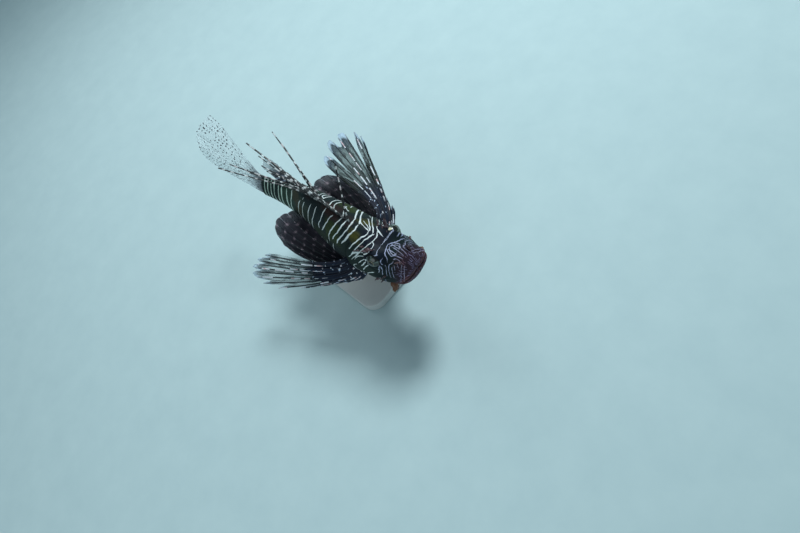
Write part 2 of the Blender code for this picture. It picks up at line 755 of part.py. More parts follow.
def add_stand(fish, pale, steel):
    """A flat base with rounded corners and two short rods up to the belly."""
    outline = bpy.data.curves.new("stand_base", 'CURVE')
    outline.dimensions = '2D'
    outline.fill_mode = 'BOTH'
    outline.extrude = BASE_HIGH / 2
    line = outline.splines.new('POLY')
    corner_steps = 6
    points = []
    for corner in range(4):
        along = BASE_LONG / 2 - BASE_CORNER
        aside = BASE_WIDE / 2 - BASE_CORNER
        middle_x = along if corner in (0, 3) else -along
        middle_y = aside if corner in (0, 1) else -aside
        for i in range(corner_steps + 1):
            angle = math.pi / 2 * (corner + i / corner_steps)
            points.append((middle_x + BASE_CORNER * math.cos(angle), middle_y + BASE_CORNER * math.sin(angle)))
    line.points.add(len(points) - 1)
    for knot, (x, y) in zip(line.points, points):
        knot.co = (x, y, 0.0, 1.0)
    line.use_cyclic_u = True
    source = bpy.data.objects.new("stand_outline", outline)
    fish.objects.link(source)
    mesh = evaluated_mesh(source)
    bpy.data.objects.remove(source)
    mesh.transform(Matrix.Translation((0.0, 0.0, BASE_HIGH / 2)))
    weld = bmesh.new()
    weld.from_mesh(mesh)
    bmesh.ops.remove_doubles(weld, verts=weld.verts, dist=1e-6)
    bmesh.ops.recalc_face_normals(weld, faces=weld.faces)
    weld.to_mesh(mesh)
    weld.free()
    add_object("stand_base", mesh, pale, fish)
    for name, s in ROD_PLACES.items():
        add_rod(name, s, fish, steel)


def belly_height(x, y, s):
    """Height of the belly over a point of the stand, near s."""
    best = None
    for step in range(-12, 13):
        for turn in range(-12, 13):
            point = skin(s + step * 0.003, math.pi + turn * 0.03)
            distance = (point.x - x) ** 2 + (point.y - y) ** 2
            if best is None or distance < best[0]:
                best = (distance, point.z)
    return best[1]


def add_rod(name, s, fish, steel):
    """A rod from the base, its top cut to follow the belly."""
    foot = at(s, 0.0, BELLY(s))
    sides = 16
    lower, upper = [], []
    for i in range(sides):
        angle = 2 * math.pi * i / sides
        x = foot.x + ROD_RADIUS * math.cos(angle)
        y = foot.y + ROD_RADIUS * math.sin(angle)
        lower.append(Vector((x, y, BASE_HIGH + GAP)))
        upper.append(Vector((x, y, belly_height(x, y, s) - 2 * GAP)))
    ends = (Vector((foot.x, foot.y, BASE_HIGH + GAP)),
            Vector((foot.x, foot.y, belly_height(foot.x, foot.y, s) - 2 * GAP)))
    loft(name, [lower, upper], ends, steel, fish, smooth_shade=False)


def build():
    """Make the whole fish on its stand."""
    for old in list(bpy.data.objects):
        bpy.data.objects.remove(old)
    fish = new_collection("red_lionfish")
    head_flesh = make_material("head_skin", (0.19, 0.10, 0.07), 0.45)
    body_flesh = make_material("body_skin", (0.12, 0.10, 0.06), 0.45)
    fin_flesh = make_material("fin_skin", (0.06, 0.05, 0.08), 0.5)
    clear_flesh = make_material("tail_fin_skin", (0.62, 0.66, 0.68), 0.4)
    eye_surface = make_material("eye", (0.05, 0.03, 0.02), 0.1)
    pale = make_material("stand_paint", (0.80, 0.80, 0.77), 0.5)
    steel = make_material("stand_steel", (0.60, 0.61, 0.62), 0.35, 1.0)
    add_head(fish, head_flesh)
    add_gill_cover("gill_cover_left", 1, fish, head_flesh)
    add_gill_cover("gill_cover_right", -1, fish, head_flesh)
    ball("eye_left", eye_middle(1), EYE_RADIUS, fish, eye_surface)
    ball("eye_right", eye_middle(-1), EYE_RADIUS, fish, eye_surface)
    add_trunk(fish, body_flesh)
    add_stalk(fish, body_flesh)
    add_spiny_dorsal(fish, body_flesh)
    soft = {"root": 0.0022, "tip": 0.0006, "web": 0.0008}
    median_fin("fin_dorsal_soft", spread(.700, .893, 11), 1,
               smooth((0, .12), (.25, .165), (.55, .175), (.8, .150), (1, .11)),
               smooth((0, 66), (.5, 72), (1, 77)), 8, 6, soft, fish, clear_flesh)
    median_fin("fin_anal", spread(.712, .880, 10), -1,
               smooth((0, .11), (.3, .185), (.6, .205), (.85, .18), (1, .13)),
               smooth((0, 42), (.5, 54), (1, 66)), 26, 6, soft, fish, clear_flesh)
    add_caudal(fish, clear_flesh)
    add_pectoral("fin_pectoral_left", 1, PECTORAL_TIPS["left"], fish, fin_flesh)
    add_pectoral("fin_pectoral_right", -1, PECTORAL_TIPS["right"], fish, fin_flesh)
    add_pelvic("fin_pelvic_left", 1, PELVIC_TIPS["left"], fish, fin_flesh)
    add_pelvic("fin_pelvic_right", -1, PELVIC_TIPS["right"], fish, fin_flesh)
    add_stand(fish, pale, steel)


build()
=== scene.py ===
# Red lionfish, life size, swimming, held on a plain display stand: looks, studio and camera
import math

import bmesh
import bpy
import numpy as np
from mathutils import Matrix, Vector


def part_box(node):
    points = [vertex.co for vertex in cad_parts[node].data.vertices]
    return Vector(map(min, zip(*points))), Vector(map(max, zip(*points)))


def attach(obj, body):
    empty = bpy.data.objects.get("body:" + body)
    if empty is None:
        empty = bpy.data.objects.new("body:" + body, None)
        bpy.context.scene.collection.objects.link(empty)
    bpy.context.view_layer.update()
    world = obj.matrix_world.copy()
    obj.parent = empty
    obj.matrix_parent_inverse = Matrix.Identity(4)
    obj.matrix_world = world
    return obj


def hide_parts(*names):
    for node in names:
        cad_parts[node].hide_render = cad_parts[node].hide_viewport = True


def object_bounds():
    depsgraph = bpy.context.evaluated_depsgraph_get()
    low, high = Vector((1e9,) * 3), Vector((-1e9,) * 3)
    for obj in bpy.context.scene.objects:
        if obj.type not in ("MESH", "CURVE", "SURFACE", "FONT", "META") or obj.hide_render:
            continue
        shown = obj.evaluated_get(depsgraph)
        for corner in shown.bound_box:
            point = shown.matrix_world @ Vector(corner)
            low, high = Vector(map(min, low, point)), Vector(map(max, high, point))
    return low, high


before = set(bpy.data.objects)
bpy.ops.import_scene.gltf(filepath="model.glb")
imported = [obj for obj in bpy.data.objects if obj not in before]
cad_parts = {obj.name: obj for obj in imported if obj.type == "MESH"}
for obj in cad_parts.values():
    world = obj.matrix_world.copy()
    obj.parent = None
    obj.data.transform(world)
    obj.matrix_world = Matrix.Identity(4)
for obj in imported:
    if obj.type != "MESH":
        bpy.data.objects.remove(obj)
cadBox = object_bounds()
print("frame loaded")


# small helpers for shapes that follow a rule

def ease(value, low, high):
    part = np.clip((np.asarray(value, float) - low) / (high - low), 0.0, 1.0)
    return part * part * (3.0 - 2.0 * part)


def hump(value, middle, width):
    part = np.clip(np.abs(np.asarray(value, float) - middle) / width, 0.0, 1.0)
    return (1.0 - part * part) ** 2


def bell(value, middle, width):
    return np.exp(-((np.asarray(value, float) - middle) / width) ** 2)


def curveThrough(*keys):
    # a smooth curve through keys of (place, value), for arrays of places
    places = np.array([key[0] for key in keys], float)
    values = np.array([key[1] for key in keys], float)
    count = len(keys)
    before = np.maximum(np.arange(count) - 1, 0)
    after = np.minimum(np.arange(count) + 1, count - 1)
    spans = places[after] - places[before]
    slopes = (values[after] - values[before]) / (spans if values.ndim == 1 else spans[:, None])

    def curve(place):
        place = np.clip(np.asarray(place, float), places[0], places[-1])
        i = np.clip(np.searchsorted(places, place, side="right") - 1, 0, count - 2)
        span = places[i + 1] - places[i]
        u = (place - places[i]) / span
        if values.ndim > 1:
            u, span = u[..., None], span[..., None]
        start = values[i] * (2 * u ** 3 - 3 * u ** 2 + 1) + slopes[i] * span * (u ** 3 - 2 * u ** 2 + u)
        end = values[i + 1] * (3 * u ** 2 - 2 * u ** 3) + slopes[i + 1] * span * (u ** 3 - u ** 2)
        return start + end

    return curve


def unit(vectors):
    vectors = np.asarray(vectors, float)
    return vectors / np.maximum(np.linalg.norm(vectors, axis=-1, keepdims=True), 1e-12)


# the fish's plan, the same as the solids have: places along the body are parts of its length

fishPlan = {
    "length": 0.220,
    "middle": (0.016, 0.0, 0.088),
    "snout": 0.020,
    "headTurn": 8.0,
    "tailTurn": 11.5,
    "tailLift": 8.0,
    "tailRoll": 26.0,
    "gap": 0.0003,
}
backLine = curveThrough((.020, .012), (.023, .021), (.029, .030), (.039, .041), (.054, .055), (.084, .077),
                        (.12, .100), (.16, .118), (.20, .131), (.25, .145), (.30, .158), (.36, .171),
                        (.44, .178), (.52, .172), (.60, .157), (.70, .130), (.80, .095), (.88, .067),
                        (.94, .056), (1.0, .054))
bellyLine = curveThrough((.020, -.024), (.023, -.036), (.029, -.048), (.039, -.060), (.054, -.074),
                         (.084, -.096), (.12, -.117), (.20, -.150), (.30, -.177), (.40, -.186), (.50, -.180),
                         (.60, -.160), (.70, -.126), (.80, -.088), (.88, -.065), (.94, -.056), (1.0, -.054))
halfLine = curveThrough((.020, .024), (.023, .038), (.029, .051), (.039, .062), (.054, .072), (.084, .083),
                        (.12, .091), (.17, .097), (.25, .102), (.32, .103), (.40, .099), (.50, .089),
                        (.60, .074), (.70, .057), (.80, .040), (.90, .026), (1.0, .0165))


def bendLine(steps=200):
    # the places and the leaning left and up directions along the bent body
    plan = fishPlan
    s = np.arange(steps + 1) / steps
    turn = np.radians(plan["headTurn"] * (1 - ease(s, .1, .45)) + plan["tailTurn"] * ease(s, .55, .95))
    lift = np.radians(plan["tailLift"] * ease(s, .65, 1.0))
    roll = np.radians(plan["tailRoll"] * ease(s, .5, 1.0))[:, None]
    ahead = np.stack([np.cos(turn) * np.cos(lift), np.sin(turn) * np.cos(lift), -np.sin(lift)], 1)
    left = np.stack([-np.sin(turn), np.cos(turn), 0 * turn], 1)
    up = np.cross(ahead, left)
    place = np.zeros((steps + 1, 3))
    place[1:] = -np.cumsum(ahead[:-1], axis=0) * plan["length"] / steps
    place += np.array(plan["middle"]) - place[steps // 2]
    return s, place, left * np.cos(roll) - up * np.sin(roll), up * np.cos(roll) + left * np.sin(roll)


lineAt, linePlace, lineLeft, lineUp = bendLine()


def along(table, s):
    return np.stack([np.interp(s, lineAt, table[:, k]) for k in range(3)], -1)


def placeAt(s, y, z):
    s, y, z = np.broadcast_arrays(np.asarray(s, float), y, z)
    long = fishPlan["length"]
    return along(linePlace, s) + along(lineLeft, s) * (y * long)[..., None] \
        + along(lineUp, s) * (z * long)[..., None]


def reach(x, y, z):
    return np.array(fishPlan["middle"]) + np.array((x, y, z)) * fishPlan["length"]


def skinPoint(s, angle, raised=0.0):
    # a point of the skin; the angle runs from the back over the left side
    s, angle, raised = np.broadcast_arrays(np.asarray(s, float), angle, raised)
    back, belly, half = backLine(s), bellyLine(s), halfLine(s)
    side, rise = np.sin(angle), np.cos(angle)
    narrow = 1.0 - 0.16 * np.maximum(rise, 0.0)
    high = 0.5 * (back - belly)
    outSide, outRise = side / half, rise / high
    size = np.hypot(outSide, outRise)
    lift = raised / fishPlan["length"]
    return placeAt(s, half * side * narrow + outSide / size * lift,
                   0.5 * (back + belly) + high * rise + outRise / size * lift)


def skinNormal(s, angle):
    lengthwise = skinPoint(s + 0.004, angle) - skinPoint(s - 0.004, angle)
    around = skinPoint(s, angle + 0.02) - skinPoint(s, angle - 0.02)
    return unit(np.cross(around, lengthwise))


# meshes from arrays

def gridFaces(rows, columns, closed=False):
    r = np.arange(rows - 1)[:, None]
    c = np.arange(columns if closed else columns - 1)[None, :]
    nextColumn = (c + 1) % columns
    quads = np.stack([r * columns + c, r * columns + nextColumn,
                      (r + 1) * columns + nextColumn, (r + 1) * columns + c], -1)
    return quads.reshape(-1, 4)


def meshFrom(name, points, faces, values=None):
    mesh = bpy.data.meshes.new(name)
    mesh.from_pydata(np.asarray(points).reshape(-1, 3).tolist(), [], [list(map(int, f)) for f in faces])
    mesh.update()
    for key, numbers in (values or {}).items():
        addValues(mesh, key, numbers)
    return mesh


def addValues(mesh, key, numbers):
    numbers = np.asarray(numbers, np.float32)
    if numbers.ndim == 2:
        layer = mesh.attributes.new(key, 'FLOAT_COLOR', 'POINT')
        layer.data.foreach_set("color", numbers.ravel())
    else:
        layer = mesh.attributes.new(key, 'FLOAT', 'POINT')
        layer.data.foreach_set("value", numbers.ravel())


def addPiece(name, mesh, *materials):
    piece = bpy.data.objects.new(name, mesh)
    bpy.context.scene.collection.objects.link(piece)
    for material in materials:
        mesh.materials.append(material)
    mesh.shade_smooth()
    return piece


def settle(piece):
    # the evaluated mesh takes the place of the modifiers
    graph = bpy.context.evaluated_depsgraph_get()
    graph.update()
    mesh = bpy.data.meshes.new_from_object(piece.evaluated_get(graph), preserve_all_data_layers=True,
                                           depsgraph=graph)
    piece.modifiers.clear()
    if piece.type == 'MESH':
        piece.data = mesh
        return piece
    return mesh


def joinPieces(name, pieces):
    # one mesh from several, their material slots kept side by side
    bpy.ops.object.select_all(action='DESELECT')
    for piece in pieces:
        piece.select_set(True)
    bpy.context.view_layer.objects.active = pieces[0]
    bpy.ops.object.join()
    pieces[0].name = name
    pieces[0].data.name = name
    return pieces[0]


def mendMesh(mesh, near=0.00001):
    work = bmesh.new()
    work.from_mesh(mesh)
    bmesh.ops.remove_doubles(work, verts=work.verts, dist=near)
    bmesh.ops.dissolve_degenerate(work, edges=work.edges, dist=near / 10)
    bmesh.ops.recalc_face_normals(work, faces=work.faces)
    work.to_mesh(mesh)
    work.free()


def finish(piece, slotName, *nodes):
    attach(piece, "root")
    if nodes:
        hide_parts(*nodes)
    return piece


# shader building

class Nodes:
    # a short way to lay out one node tree
    def __init__(self, tree):
        self.tree = tree

    def add(self, kind, settings=None, **inputs):
        node = self.tree.nodes.new(kind)
        for key, value in (settings or {}).items():
            setattr(node, key, value)
        for key, value in inputs.items():
            self.put(node.inputs[int(key[1:]) if key[0] == "i" and key[1:].isdigit() else key], value)
        return node

    def put(self, socket, value):
        if isinstance(value, bpy.types.NodeSocket):
            self.tree.links.new(value, socket)
        elif isinstance(value, bpy.types.Node):
            self.tree.links.new(value.outputs[0], socket)
        else:
            socket.default_value = value

    def math(self, operation, a, b=0.0, c=0.0, clamp=False):
        return self.add('ShaderNodeMath', {"operation": operation, "use_clamp": clamp}, i0=a, i1=b, i2=c).outputs[0]

    def vector(self, operation, a, b=(0, 0, 0)):
        return self.add('ShaderNodeVectorMath', {"operation": operation}, i0=a, i1=b).outputs[0]

    def step(self, value, low, high):
        # 0 below low, 1 above high and smooth between
        node = self.add('ShaderNodeMapRange', {"interpolation_type": 'SMOOTHSTEP', "clamp": True},
                        i0=value, i1=low, i2=high)
        return node.outputs[0]

    def band(self, value, first, last, soft):
        # 1 between first and last, with soft ends
        return self.math('SUBTRACT', self.step(value, first - soft, first + soft),
                         self.step(value, last - soft, last + soft))

    def ramp(self, value, low, high, fromValue, toValue):
        return self.add('ShaderNodeMapRange', {"clamp": True}, i0=value, i1=low, i2=high,
                        i3=fromValue, i4=toValue).outputs[0]

    def mix(self, part, a, b, blend='MIX'):
        node = self.add('ShaderNodeMix', {"data_type": 'RGBA', "blend_type": blend, "clamp_factor": True})
        self.put(node.inputs[0], part)
        for socket, value in ((node.inputs[6], a), (node.inputs[7], b)):
            self.put(socket, (*value, 1.0) if isinstance(value, tuple) and len(value) == 3 else value)
        return node.outputs[2]

    def noise(self, vector, scale, detail=3.0, rough=0.5, output=0, warp=0.0):
        node = self.add('ShaderNodeTexNoise', None, Vector=vector, Scale=scale, Detail=detail, Roughness=rough,
                        Distortion=warp)
        return node.outputs[output]

    def cells(self, vector, scale, feature='F1', random=1.0, output="Distance"):
        node = self.add('ShaderNodeTexVoronoi', {"feature": feature}, Vector=vector, Scale=scale,
                        Randomness=random)
        return node.outputs[output]

    def place(self):
        return self.add('ShaderNodeTexCoord').outputs["Object"]

    def value(self, key, output="Fac"):
        return self.add('ShaderNodeAttribute', {"attribute_name": key}).outputs[output]

    def split(self, vector):
        return self.add('ShaderNodeSeparateXYZ', None, i0=vector).outputs

    def join(self, x, y, z=0.0):
        return self.add('ShaderNodeCombineXYZ', None, i0=x, i1=y, i2=z).outputs[0]

    def group(self, tree, **inputs):
        node = self.tree.nodes.new('ShaderNodeGroup')
        node.node_tree = tree
        for key, value in inputs.items():
            self.put(node.inputs[key], value)
        return node.outputs


def newGroup(name, inputs, outputs):
    # a shader node group with named sockets: inputs give (name, kind, value), outputs (name, kind)
    tree = bpy.data.node_groups.new(name, 'ShaderNodeTree')
    for key, kind, value in inputs:
        socket = tree.interface.new_socket(key, in_out='INPUT', socket_type="NodeSocket" + kind)
        socket.default_value = value
    for key, kind in outputs:
        tree.interface.new_socket(key, in_out='OUTPUT', socket_type="NodeSocket" + kind)
    work = Nodes(tree)
    start = tree.nodes.new('NodeGroupInput').outputs
    end = tree.nodes.new('NodeGroupOutput').inputs
    return tree, work, start, end


def newMaterial(name, settings, **linked):
    # linked gives the sockets that change over the surface, as functions of the node helper
    material = bpy.data.materials.new(name)
    material.use_nodes = True
    work = Nodes(material.node_tree)
    shader = material.node_tree.nodes["Principled BSDF"]
    for key, value in settings.items():
        shader.inputs[key].default_value = value
    return material, work, shader


# the skin of the head, body and tail stalk, one closed surface over all of them

skinPlan = {
    "headRings": 236,
    "headEnd": 0.335,
    "bodyRings": 176,
    "around": 224,
    "eyeAlong": 0.157,
    "eyeSide": 0.060,
    "eyeHigh": 0.073,
    "eyeRadius": 0.0076,
    "rimOut": 0.0020,
    "rimHeight": 0.0021,
    "rimWidth": 0.0020,
    "lipUpper": (-0.010, 0.0019, 0.0030),
    "lipLower": (0.011, 0.0021, 0.0032),
    "mouthGroove": (0.0019, 0.00085),
    "gillLift": 0.0013,
    "gillFold": 0.0011,
}


def eyeMiddle(side):
    plan = skinPlan
    return placeAt(plan["eyeAlong"], side * plan["eyeSide"], plan["eyeHigh"])


def eyeAxis(side):
    plan = skinPlan
    out = placeAt(plan["eyeAlong"] - 0.02, side * (plan["eyeSide"] + 0.1), plan["eyeHigh"] + 0.032)
    return unit(out - eyeMiddle(side))


def mouthPoint(t, drop):
    bend = 1.0 - np.cos(t * np.pi / 2)
    s = fishPlan["snout"] + 0.003 + 0.090 * bend ** 0.85
    z = -0.004 - 0.064 * bend - drop
    back, belly, half = backLine(s), bellyLine(s), halfLine(s)
    inside = np.maximum(1.0 - ((z - 0.5 * (back + belly)) / (0.5 * (back - belly))) ** 2, 0.0)
    full = half * np.sqrt(inside)
    return placeAt(s, full * np.copysign(np.minimum(np.abs(t) / 0.34, 1.0) ** 0.75, t), z)


def nearLine(points, line, out=None):
    # the distance to a line of points, the side of it, and how far along the nearest place is (0 to 1)
    best = np.full(len(points), 1.0)
    where, side = np.zeros(len(points)), np.zeros(len(points))
    low, high = line.min(0) - 0.012, line.max(0) + 0.012
    inside = np.all((points > low) & (points < high), axis=1)
    near = points[inside]
    found, place, signed = best[inside], where[inside], side[inside]
    for k, (a, b) in enumerate(zip(line[:-1], line[1:])):
        way = b - a
        part = np.clip((near - a) @ way / max(way @ way, 1e-12), 0.0, 1.0)
        apart = near - a - part[:, None] * way
        gap = np.linalg.norm(apart, axis=1)
        closer = gap < found
        found = np.where(closer, gap, found)
        place = np.where(closer, (k + part) / (len(line) - 1), place)
        if out is not None:
            signed = np.where(closer, np.sum(np.cross(out[inside], unit(way)) * apart, axis=1), signed)
    best[inside], where[inside], side[inside] = found, place, signed
    return best, where, side


def smoothLine(keys, steps):
    # a smooth line of (s, degrees) through a few keys
    return curveThrough(*[(i, key) for i, key in enumerate(keys)])(np.linspace(0, len(keys) - 1, steps))


def headRelief(s, degrees):
    # brows, cheeks, jaws and the ridges of bone under the skin of the head, in metres
    brow = 0.0026 * hump(s, .157, .075) * hump(degrees, 34, 22)
    between = -0.0016 * hump(s, .145, .080) * hump(degrees, 0, 24)
    cheek = 0.0012 * hump(s, .150, .060) * hump(degrees, 112, 30)
    jaw = 0.0014 * hump(s, .080, .056) * hump(degrees, 150, 34)
    snoutRidge = 0.0008 * hump(s, .090, .050) * hump(degrees, 22, 16)
    underEye = 0.0009 * ease(s, .085, .125) * (1 - ease(s, .20, .235)) * bell(degrees, 88 + 60 * (s - .1), 5)
    temple = 0.0008 * ease(s, .17, .195) * (1 - ease(s, .25, .29)) * bell(degrees, 44 - 60 * (s - .18), 4.5)
    nape = 0.0006 * ease(s, .175, .21) * (1 - ease(s, .27, .31)) * bell(degrees, 20 - 70 * (s - .18), 4)
    return brow + between + cheek + jaw + snoutRidge + underEye + temple + nape


def skinShape():
    plan = skinPlan
    headPart = np.linspace(0, 1, plan["headRings"])
    headPlaces = fishPlan["snout"] + (plan["headEnd"] - fishPlan["snout"]) * headPart ** 1.12
    bodyPlaces = np.linspace(plan["headEnd"], 0.9995, plan["bodyRings"] + 1)[1:]
    s = np.concatenate([headPlaces, bodyPlaces])
    angle = 2 * np.pi * np.arange(plan["around"]) / plan["around"]
    s, angle = np.meshgrid(s, angle, indexing="ij")
    signed = np.degrees(np.remainder(angle + np.pi, 2 * np.pi) - np.pi)
    degrees = np.abs(signed)
    base = skinPoint(s, angle)
    out = skinNormal(s, angle)
    snoutDome = (1 - ease(s, .020, .028))[..., None]
    out = unit(out + snoutDome * np.array((0.6, 0.08, 0.0)))
    flat = base.reshape(-1, 3)
    lift = headRelief(s, degrees)

    # the gill cover: a plate that rises towards its rear edge and folds down behind it
    edgeAt = curveThrough((38, .262), (56, .288), (72, .303), (90, .3085), (108, .302), (124, .286),
                          (146, .245), (166, .205))(degrees)
    behind = (s - edgeAt) * fishPlan["length"]
    window = ease(degrees, 34, 52) * (1 - ease(degrees, 140, 168))
    plate = np.where(behind < 0, np.exp(behind / .009), 1 - ease(behind, 0, .0009))
    lift += window * plan["gillLift"] * plate
    lift -= window * plan["gillFold"] * bell(behind, .0011, .0010)
    # the cheek plate's own edge, ahead of it, with a shallow fold
    cheekEdge = curveThrough((64, .222), (84, .232), (104, .230), (124, .214), (140, .190))(degrees)
    ahead = (s - cheekEdge) * fishPlan["length"]
    cheekWindow = ease(degrees, 60, 74) * (1 - ease(degrees, 128, 142))
    lift += cheekWindow * 0.0008 * np.where(ahead < 0, np.exp(ahead / .006), 1 - ease(ahead, 0, .0008))
    lift -= cheekWindow * 0.0004 * bell(ahead, .0010, .0008)
    # a fleshy foot under each pectoral fin, and the lateral line
    foot = bell(degrees, 108, 24) * bell(s, .330, .020)
    lift += 0.0011 * foot
    lateral = curveThrough((.26, 44), (.40, 52), (.60, 66), (.80, 84), (1.0, 90))(s)
    lift -= 0.00022 * ease(s, .28, .32) * bell(degrees, lateral, 1.1)
    lift += 0.0005 * ease(s, .93, .99) * bell(degrees, 90, 34)

    values = {}
    grooveShade = np.zeros(len(flat))
    flatLift = lift.ravel()
    turns = np.linspace(-1, 1, 61)
    for key in ("lipUpper", "lipLower"):
        drop, high, wide = plan[key]
        line = mouthPoint(turns, drop * (1.0 - 0.55 * turns * turns))
        gap, where, _ = nearLine(flat, line)
        fade = 1 - 0.55 * (2 * where - 1) ** 2
        flatLift += high * fade * np.exp(-(gap / (wide * fade)) ** 2)
    deep, wide = plan["mouthGroove"]
    mouth = mouthPoint(turns, 0 * turns)
    gap = nearLine(flat, mouth)[0]
    # on the blunt front of the snout the line is met straight from ahead
    front, flatAcross = s.ravel() < 0.040, np.array((0.0, 1.0, 1.0))
    gap[front] = np.minimum(gap[front], nearLine(flat[front] * flatAcross, mouth * flatAcross)[0])
    shut = np.exp(-(gap / wide) ** 2)
    flatLift -= deep * shut
    grooveShade = np.maximum(grooveShade, np.exp(-(gap / wide) ** 2))
    values["lip"] = np.exp(-(gap / 0.0030) ** 4)
    points = flat + out.reshape(-1, 3) * flatLift[:, None]

    # the rim of flesh round each eye rises along the way the eye looks
    for side in (1, -1):
        middle, axis = eyeMiddle(side), eyeAxis(side)
        apart = points - middle
        high = apart @ axis
        round_ = np.linalg.norm(apart - high[:, None] * axis, axis=1)
        rimAt = plan["eyeRadius"] + 0.0007
        outside = bell(round_, rimAt, plan["rimWidth"])
        wanted = plan["rimOut"] + plan["rimHeight"]
        near = (high > -0.004) & (round_ < rimAt + 0.006)
        raise_ = np.where(near, np.maximum(wanted - high, 0.0) * outside, 0.0)
        points = points + axis * raise_[:, None]
        # a fold round the eye, cut into the skin; the same mask gives it painted shade
        shadedCrease = bell(round_, rimAt + 0.0036, 0.0007) * ease(high, -0.002, 0.001) * near
        points = points - axis * (0.0005 * shadedCrease)[:, None]
        grooveShade = np.maximum(grooveShade, 0.5 * shadedCrease)
    # a pit in each nostril
    for side in (1, -1):
        pit = skinPoint(0.077, side * math.radians(34))
        gap = np.linalg.norm(flat - pit, axis=1)
        rise = 0.0012 * bell(gap, .0014, .0007) - 0.0014 * np.exp(-(gap / .0008) ** 2)
        points = points + out.reshape(-1, 3) * rise[:, None]
        grooveShade = np.maximum(grooveShade, np.exp(-(gap / .0007) ** 2))
    # a pale patch with a painted highlight on the inner rim of the left eye; the right side has none
    patch = smoothLine([(.151, 27), (.147, 33), (.143, 40), (.140, 46)], 30)
    gap, where, _ = nearLine(flat, skinPoint(patch[:, 0], np.radians(patch[:, 1])))
    values["paleAndHighlight"] = np.exp(-(gap / (0.0009 + 0.0008 * np.abs(2 * where - 1))) ** 2)
    # painted shade: the mouth line, the nostril pits, the folds round the eyes and the fold behind the gill cover are
    # darkened in the skin's colour
    values["shadedCrease"] = np.maximum(grooveShade, (0.75 * window * bell(behind, .0008, .0007)).ravel())
    return s, signed, flat, out.reshape(-1, 3), points, values


def closeEnds(points, rows, columns):
    # faces of a surface closed round: quads between the rings of points, with no ends; makeSkin closes the ends
    faces = [list(quad) for quad in gridFaces(rows, columns, closed=True)]
    return faces


# pale lines of the skin: half width in mm, then (place along, degrees from the back)
bodyLines = (
    (.42, (.978, 10), (.978, 90), (.98, 170)), (.42, (.957, 8), (.957, 90), (.96, 170)),
    (.44, (.935, 8), (.935, 90), (.938, 172)), (.46, (.912, 8), (.912, 70), (.915, 172)),
    (.58, (.878, 38), (.879, 70), (.884, 120), (.886, 170)), (.82, (.852, 42), (.853, 70), (.858, 110), (.862, 160)),
    (.85, (.803, 42), (.807, 70), (.813, 105), (.82, 150)), (.80, (.742, 34), (.752, 55), (.77, 75), (.79, 110), (.80, 150)),
    (.50, (.825, 16), (.828, 30)), (.55, (.775, 12), (.785, 26)),
    (.62, (.64, 40), (.655, 48), (.672, 57), (.70, 78), (.722, 100), (.73, 130)),
    (.62, (.59, 32), (.605, 42), (.622, 52), (.65, 72), (.675, 92), (.69, 120)),
    (.62, (.524, 20), (.54, 35), (.57, 57), (.60, 76), (.615, 92)),
    (.64, (.482, 17), (.50, 40), (.535, 60), (.565, 78), (.585, 94)),
    (.52, (.50, 84), (.535, 104), (.555, 126), (.565, 158)), (.50, (.605, 110), (.625, 134), (.635, 168)),
    (.50, (.655, 112), (.67, 134), (.68, 168)), (.48, (.705, 122), (.718, 142), (.724, 170)),
    (.50, (.755, 124), (.765, 146), (.77, 172)), (.54, (.44, 76), (.475, 96), (.495, 120), (.51, 152)),
    (.54, (.385, 70), (.42, 92), (.44, 116), (.455, 150)), (.48, (.40, 132), (.415, 152), (.42, 176)),
    (.46, (.47, 142), (.48, 160), (.484, 176)), (.46, (.545, 146), (.555, 162), (.56, 176)),
)
rightLines = (
    (.62, (.425, 4), (.432, 20), (.445, 38), (.468, 51), (.474, 60)),
    (.62, (.378, 10), (.39, 20), (.402, 33), (.432, 51), (.452, 60)),
    (.68, (.333, 1), (.343, 15), (.362, 33), (.382, 46), (.403, 60), (.412, 72)),
    (.76, (.31, 0), (.320, 18), (.337, 37), (.357, 48), (.378, 60)),
    (.82, (.287, -6), (.287, 1), (.292, 18), (.315, 39), (.34, 53), (.352, 62)),
    (1.02, (.262, -4), (.262, 12), (.28, 28), (.295, 41), (.322, 55)),
    (.66, (.211, -7), (.21, 6), (.224, 18), (.242, 32), (.27, 50), (.275, 53)),
    (.64, (.187, -8), (.193, 0), (.20, 12), (.22, 31), (.243, 47), (.272, 64)),
    (.50, (.185, -18), (.175, -9), (.173, -1), (.177, 13), (.187, 25), (.205, 38), (.222, 48), (.245, 60), (.28, 75)),
    (.46, (.177, 13), (.166, 19), (.168, 26), (.177, 34), (.20, 45), (.222, 49)),
    (.46, (.228, 49), (.255, 58), (.29, 72)), (.34, (.60, 22), (.61, 30)),
)
leftLines = (
    (.62, (.42, 3), (.44, 25), (.457, 45), (.468, 60)), (.62, (.391, 4), (.413, 20), (.425, 36), (.44, 50), (.455, 64)),
    (.62, (.333, 1), (.352, 16), (.376, 30), (.385, 38)), (.46, (.374, 32), (.357, 27), (.345, 26)),
    (.60, (.375, 43), (.415, 62), (.43, 74)), (.78, (.287, 4), (.295, 18), (.335, 42), (.372, 60), (.385, 72)),
    (.90, (.262, 10), (.268, 17), (.313, 43), (.36, 65)), (.48, (.262, 14), (.24, 11), (.212, 7)),
    (.44, (.265, 25), (.24, 19), (.215, 12)), (.52, (.211, 8), (.214, 14), (.245, 30), (.28, 44)),
    (.56, (.193, 8), (.205, 18), (.235, 33), (.285, 55), (.315, 62)),
    (.52, (.225, 48), (.206, 30), (.19, 22), (.172, 18), (.155, 15)), (.36, (.205, 42), (.19, 36), (.178, 33)),
    (.44, (.232, 50), (.255, 60), (.29, 74)), (.44, (.21, 52), (.232, 64), (.262, 80)),
    (.62, (.482, 17), (.51, 25), (.53, 50)), (.52, (.62, 7), (.632, 22), (.64, 38)),
    (.52, (.655, 7), (.665, 22), (.674, 38)), (.48, (.70, 6), (.712, 20), (.722, 36)),
    (.46, (.735, 5), (.745, 16), (.755, 30)), (.42, (.565, 10), (.575, 26), (.58, 40)),
)
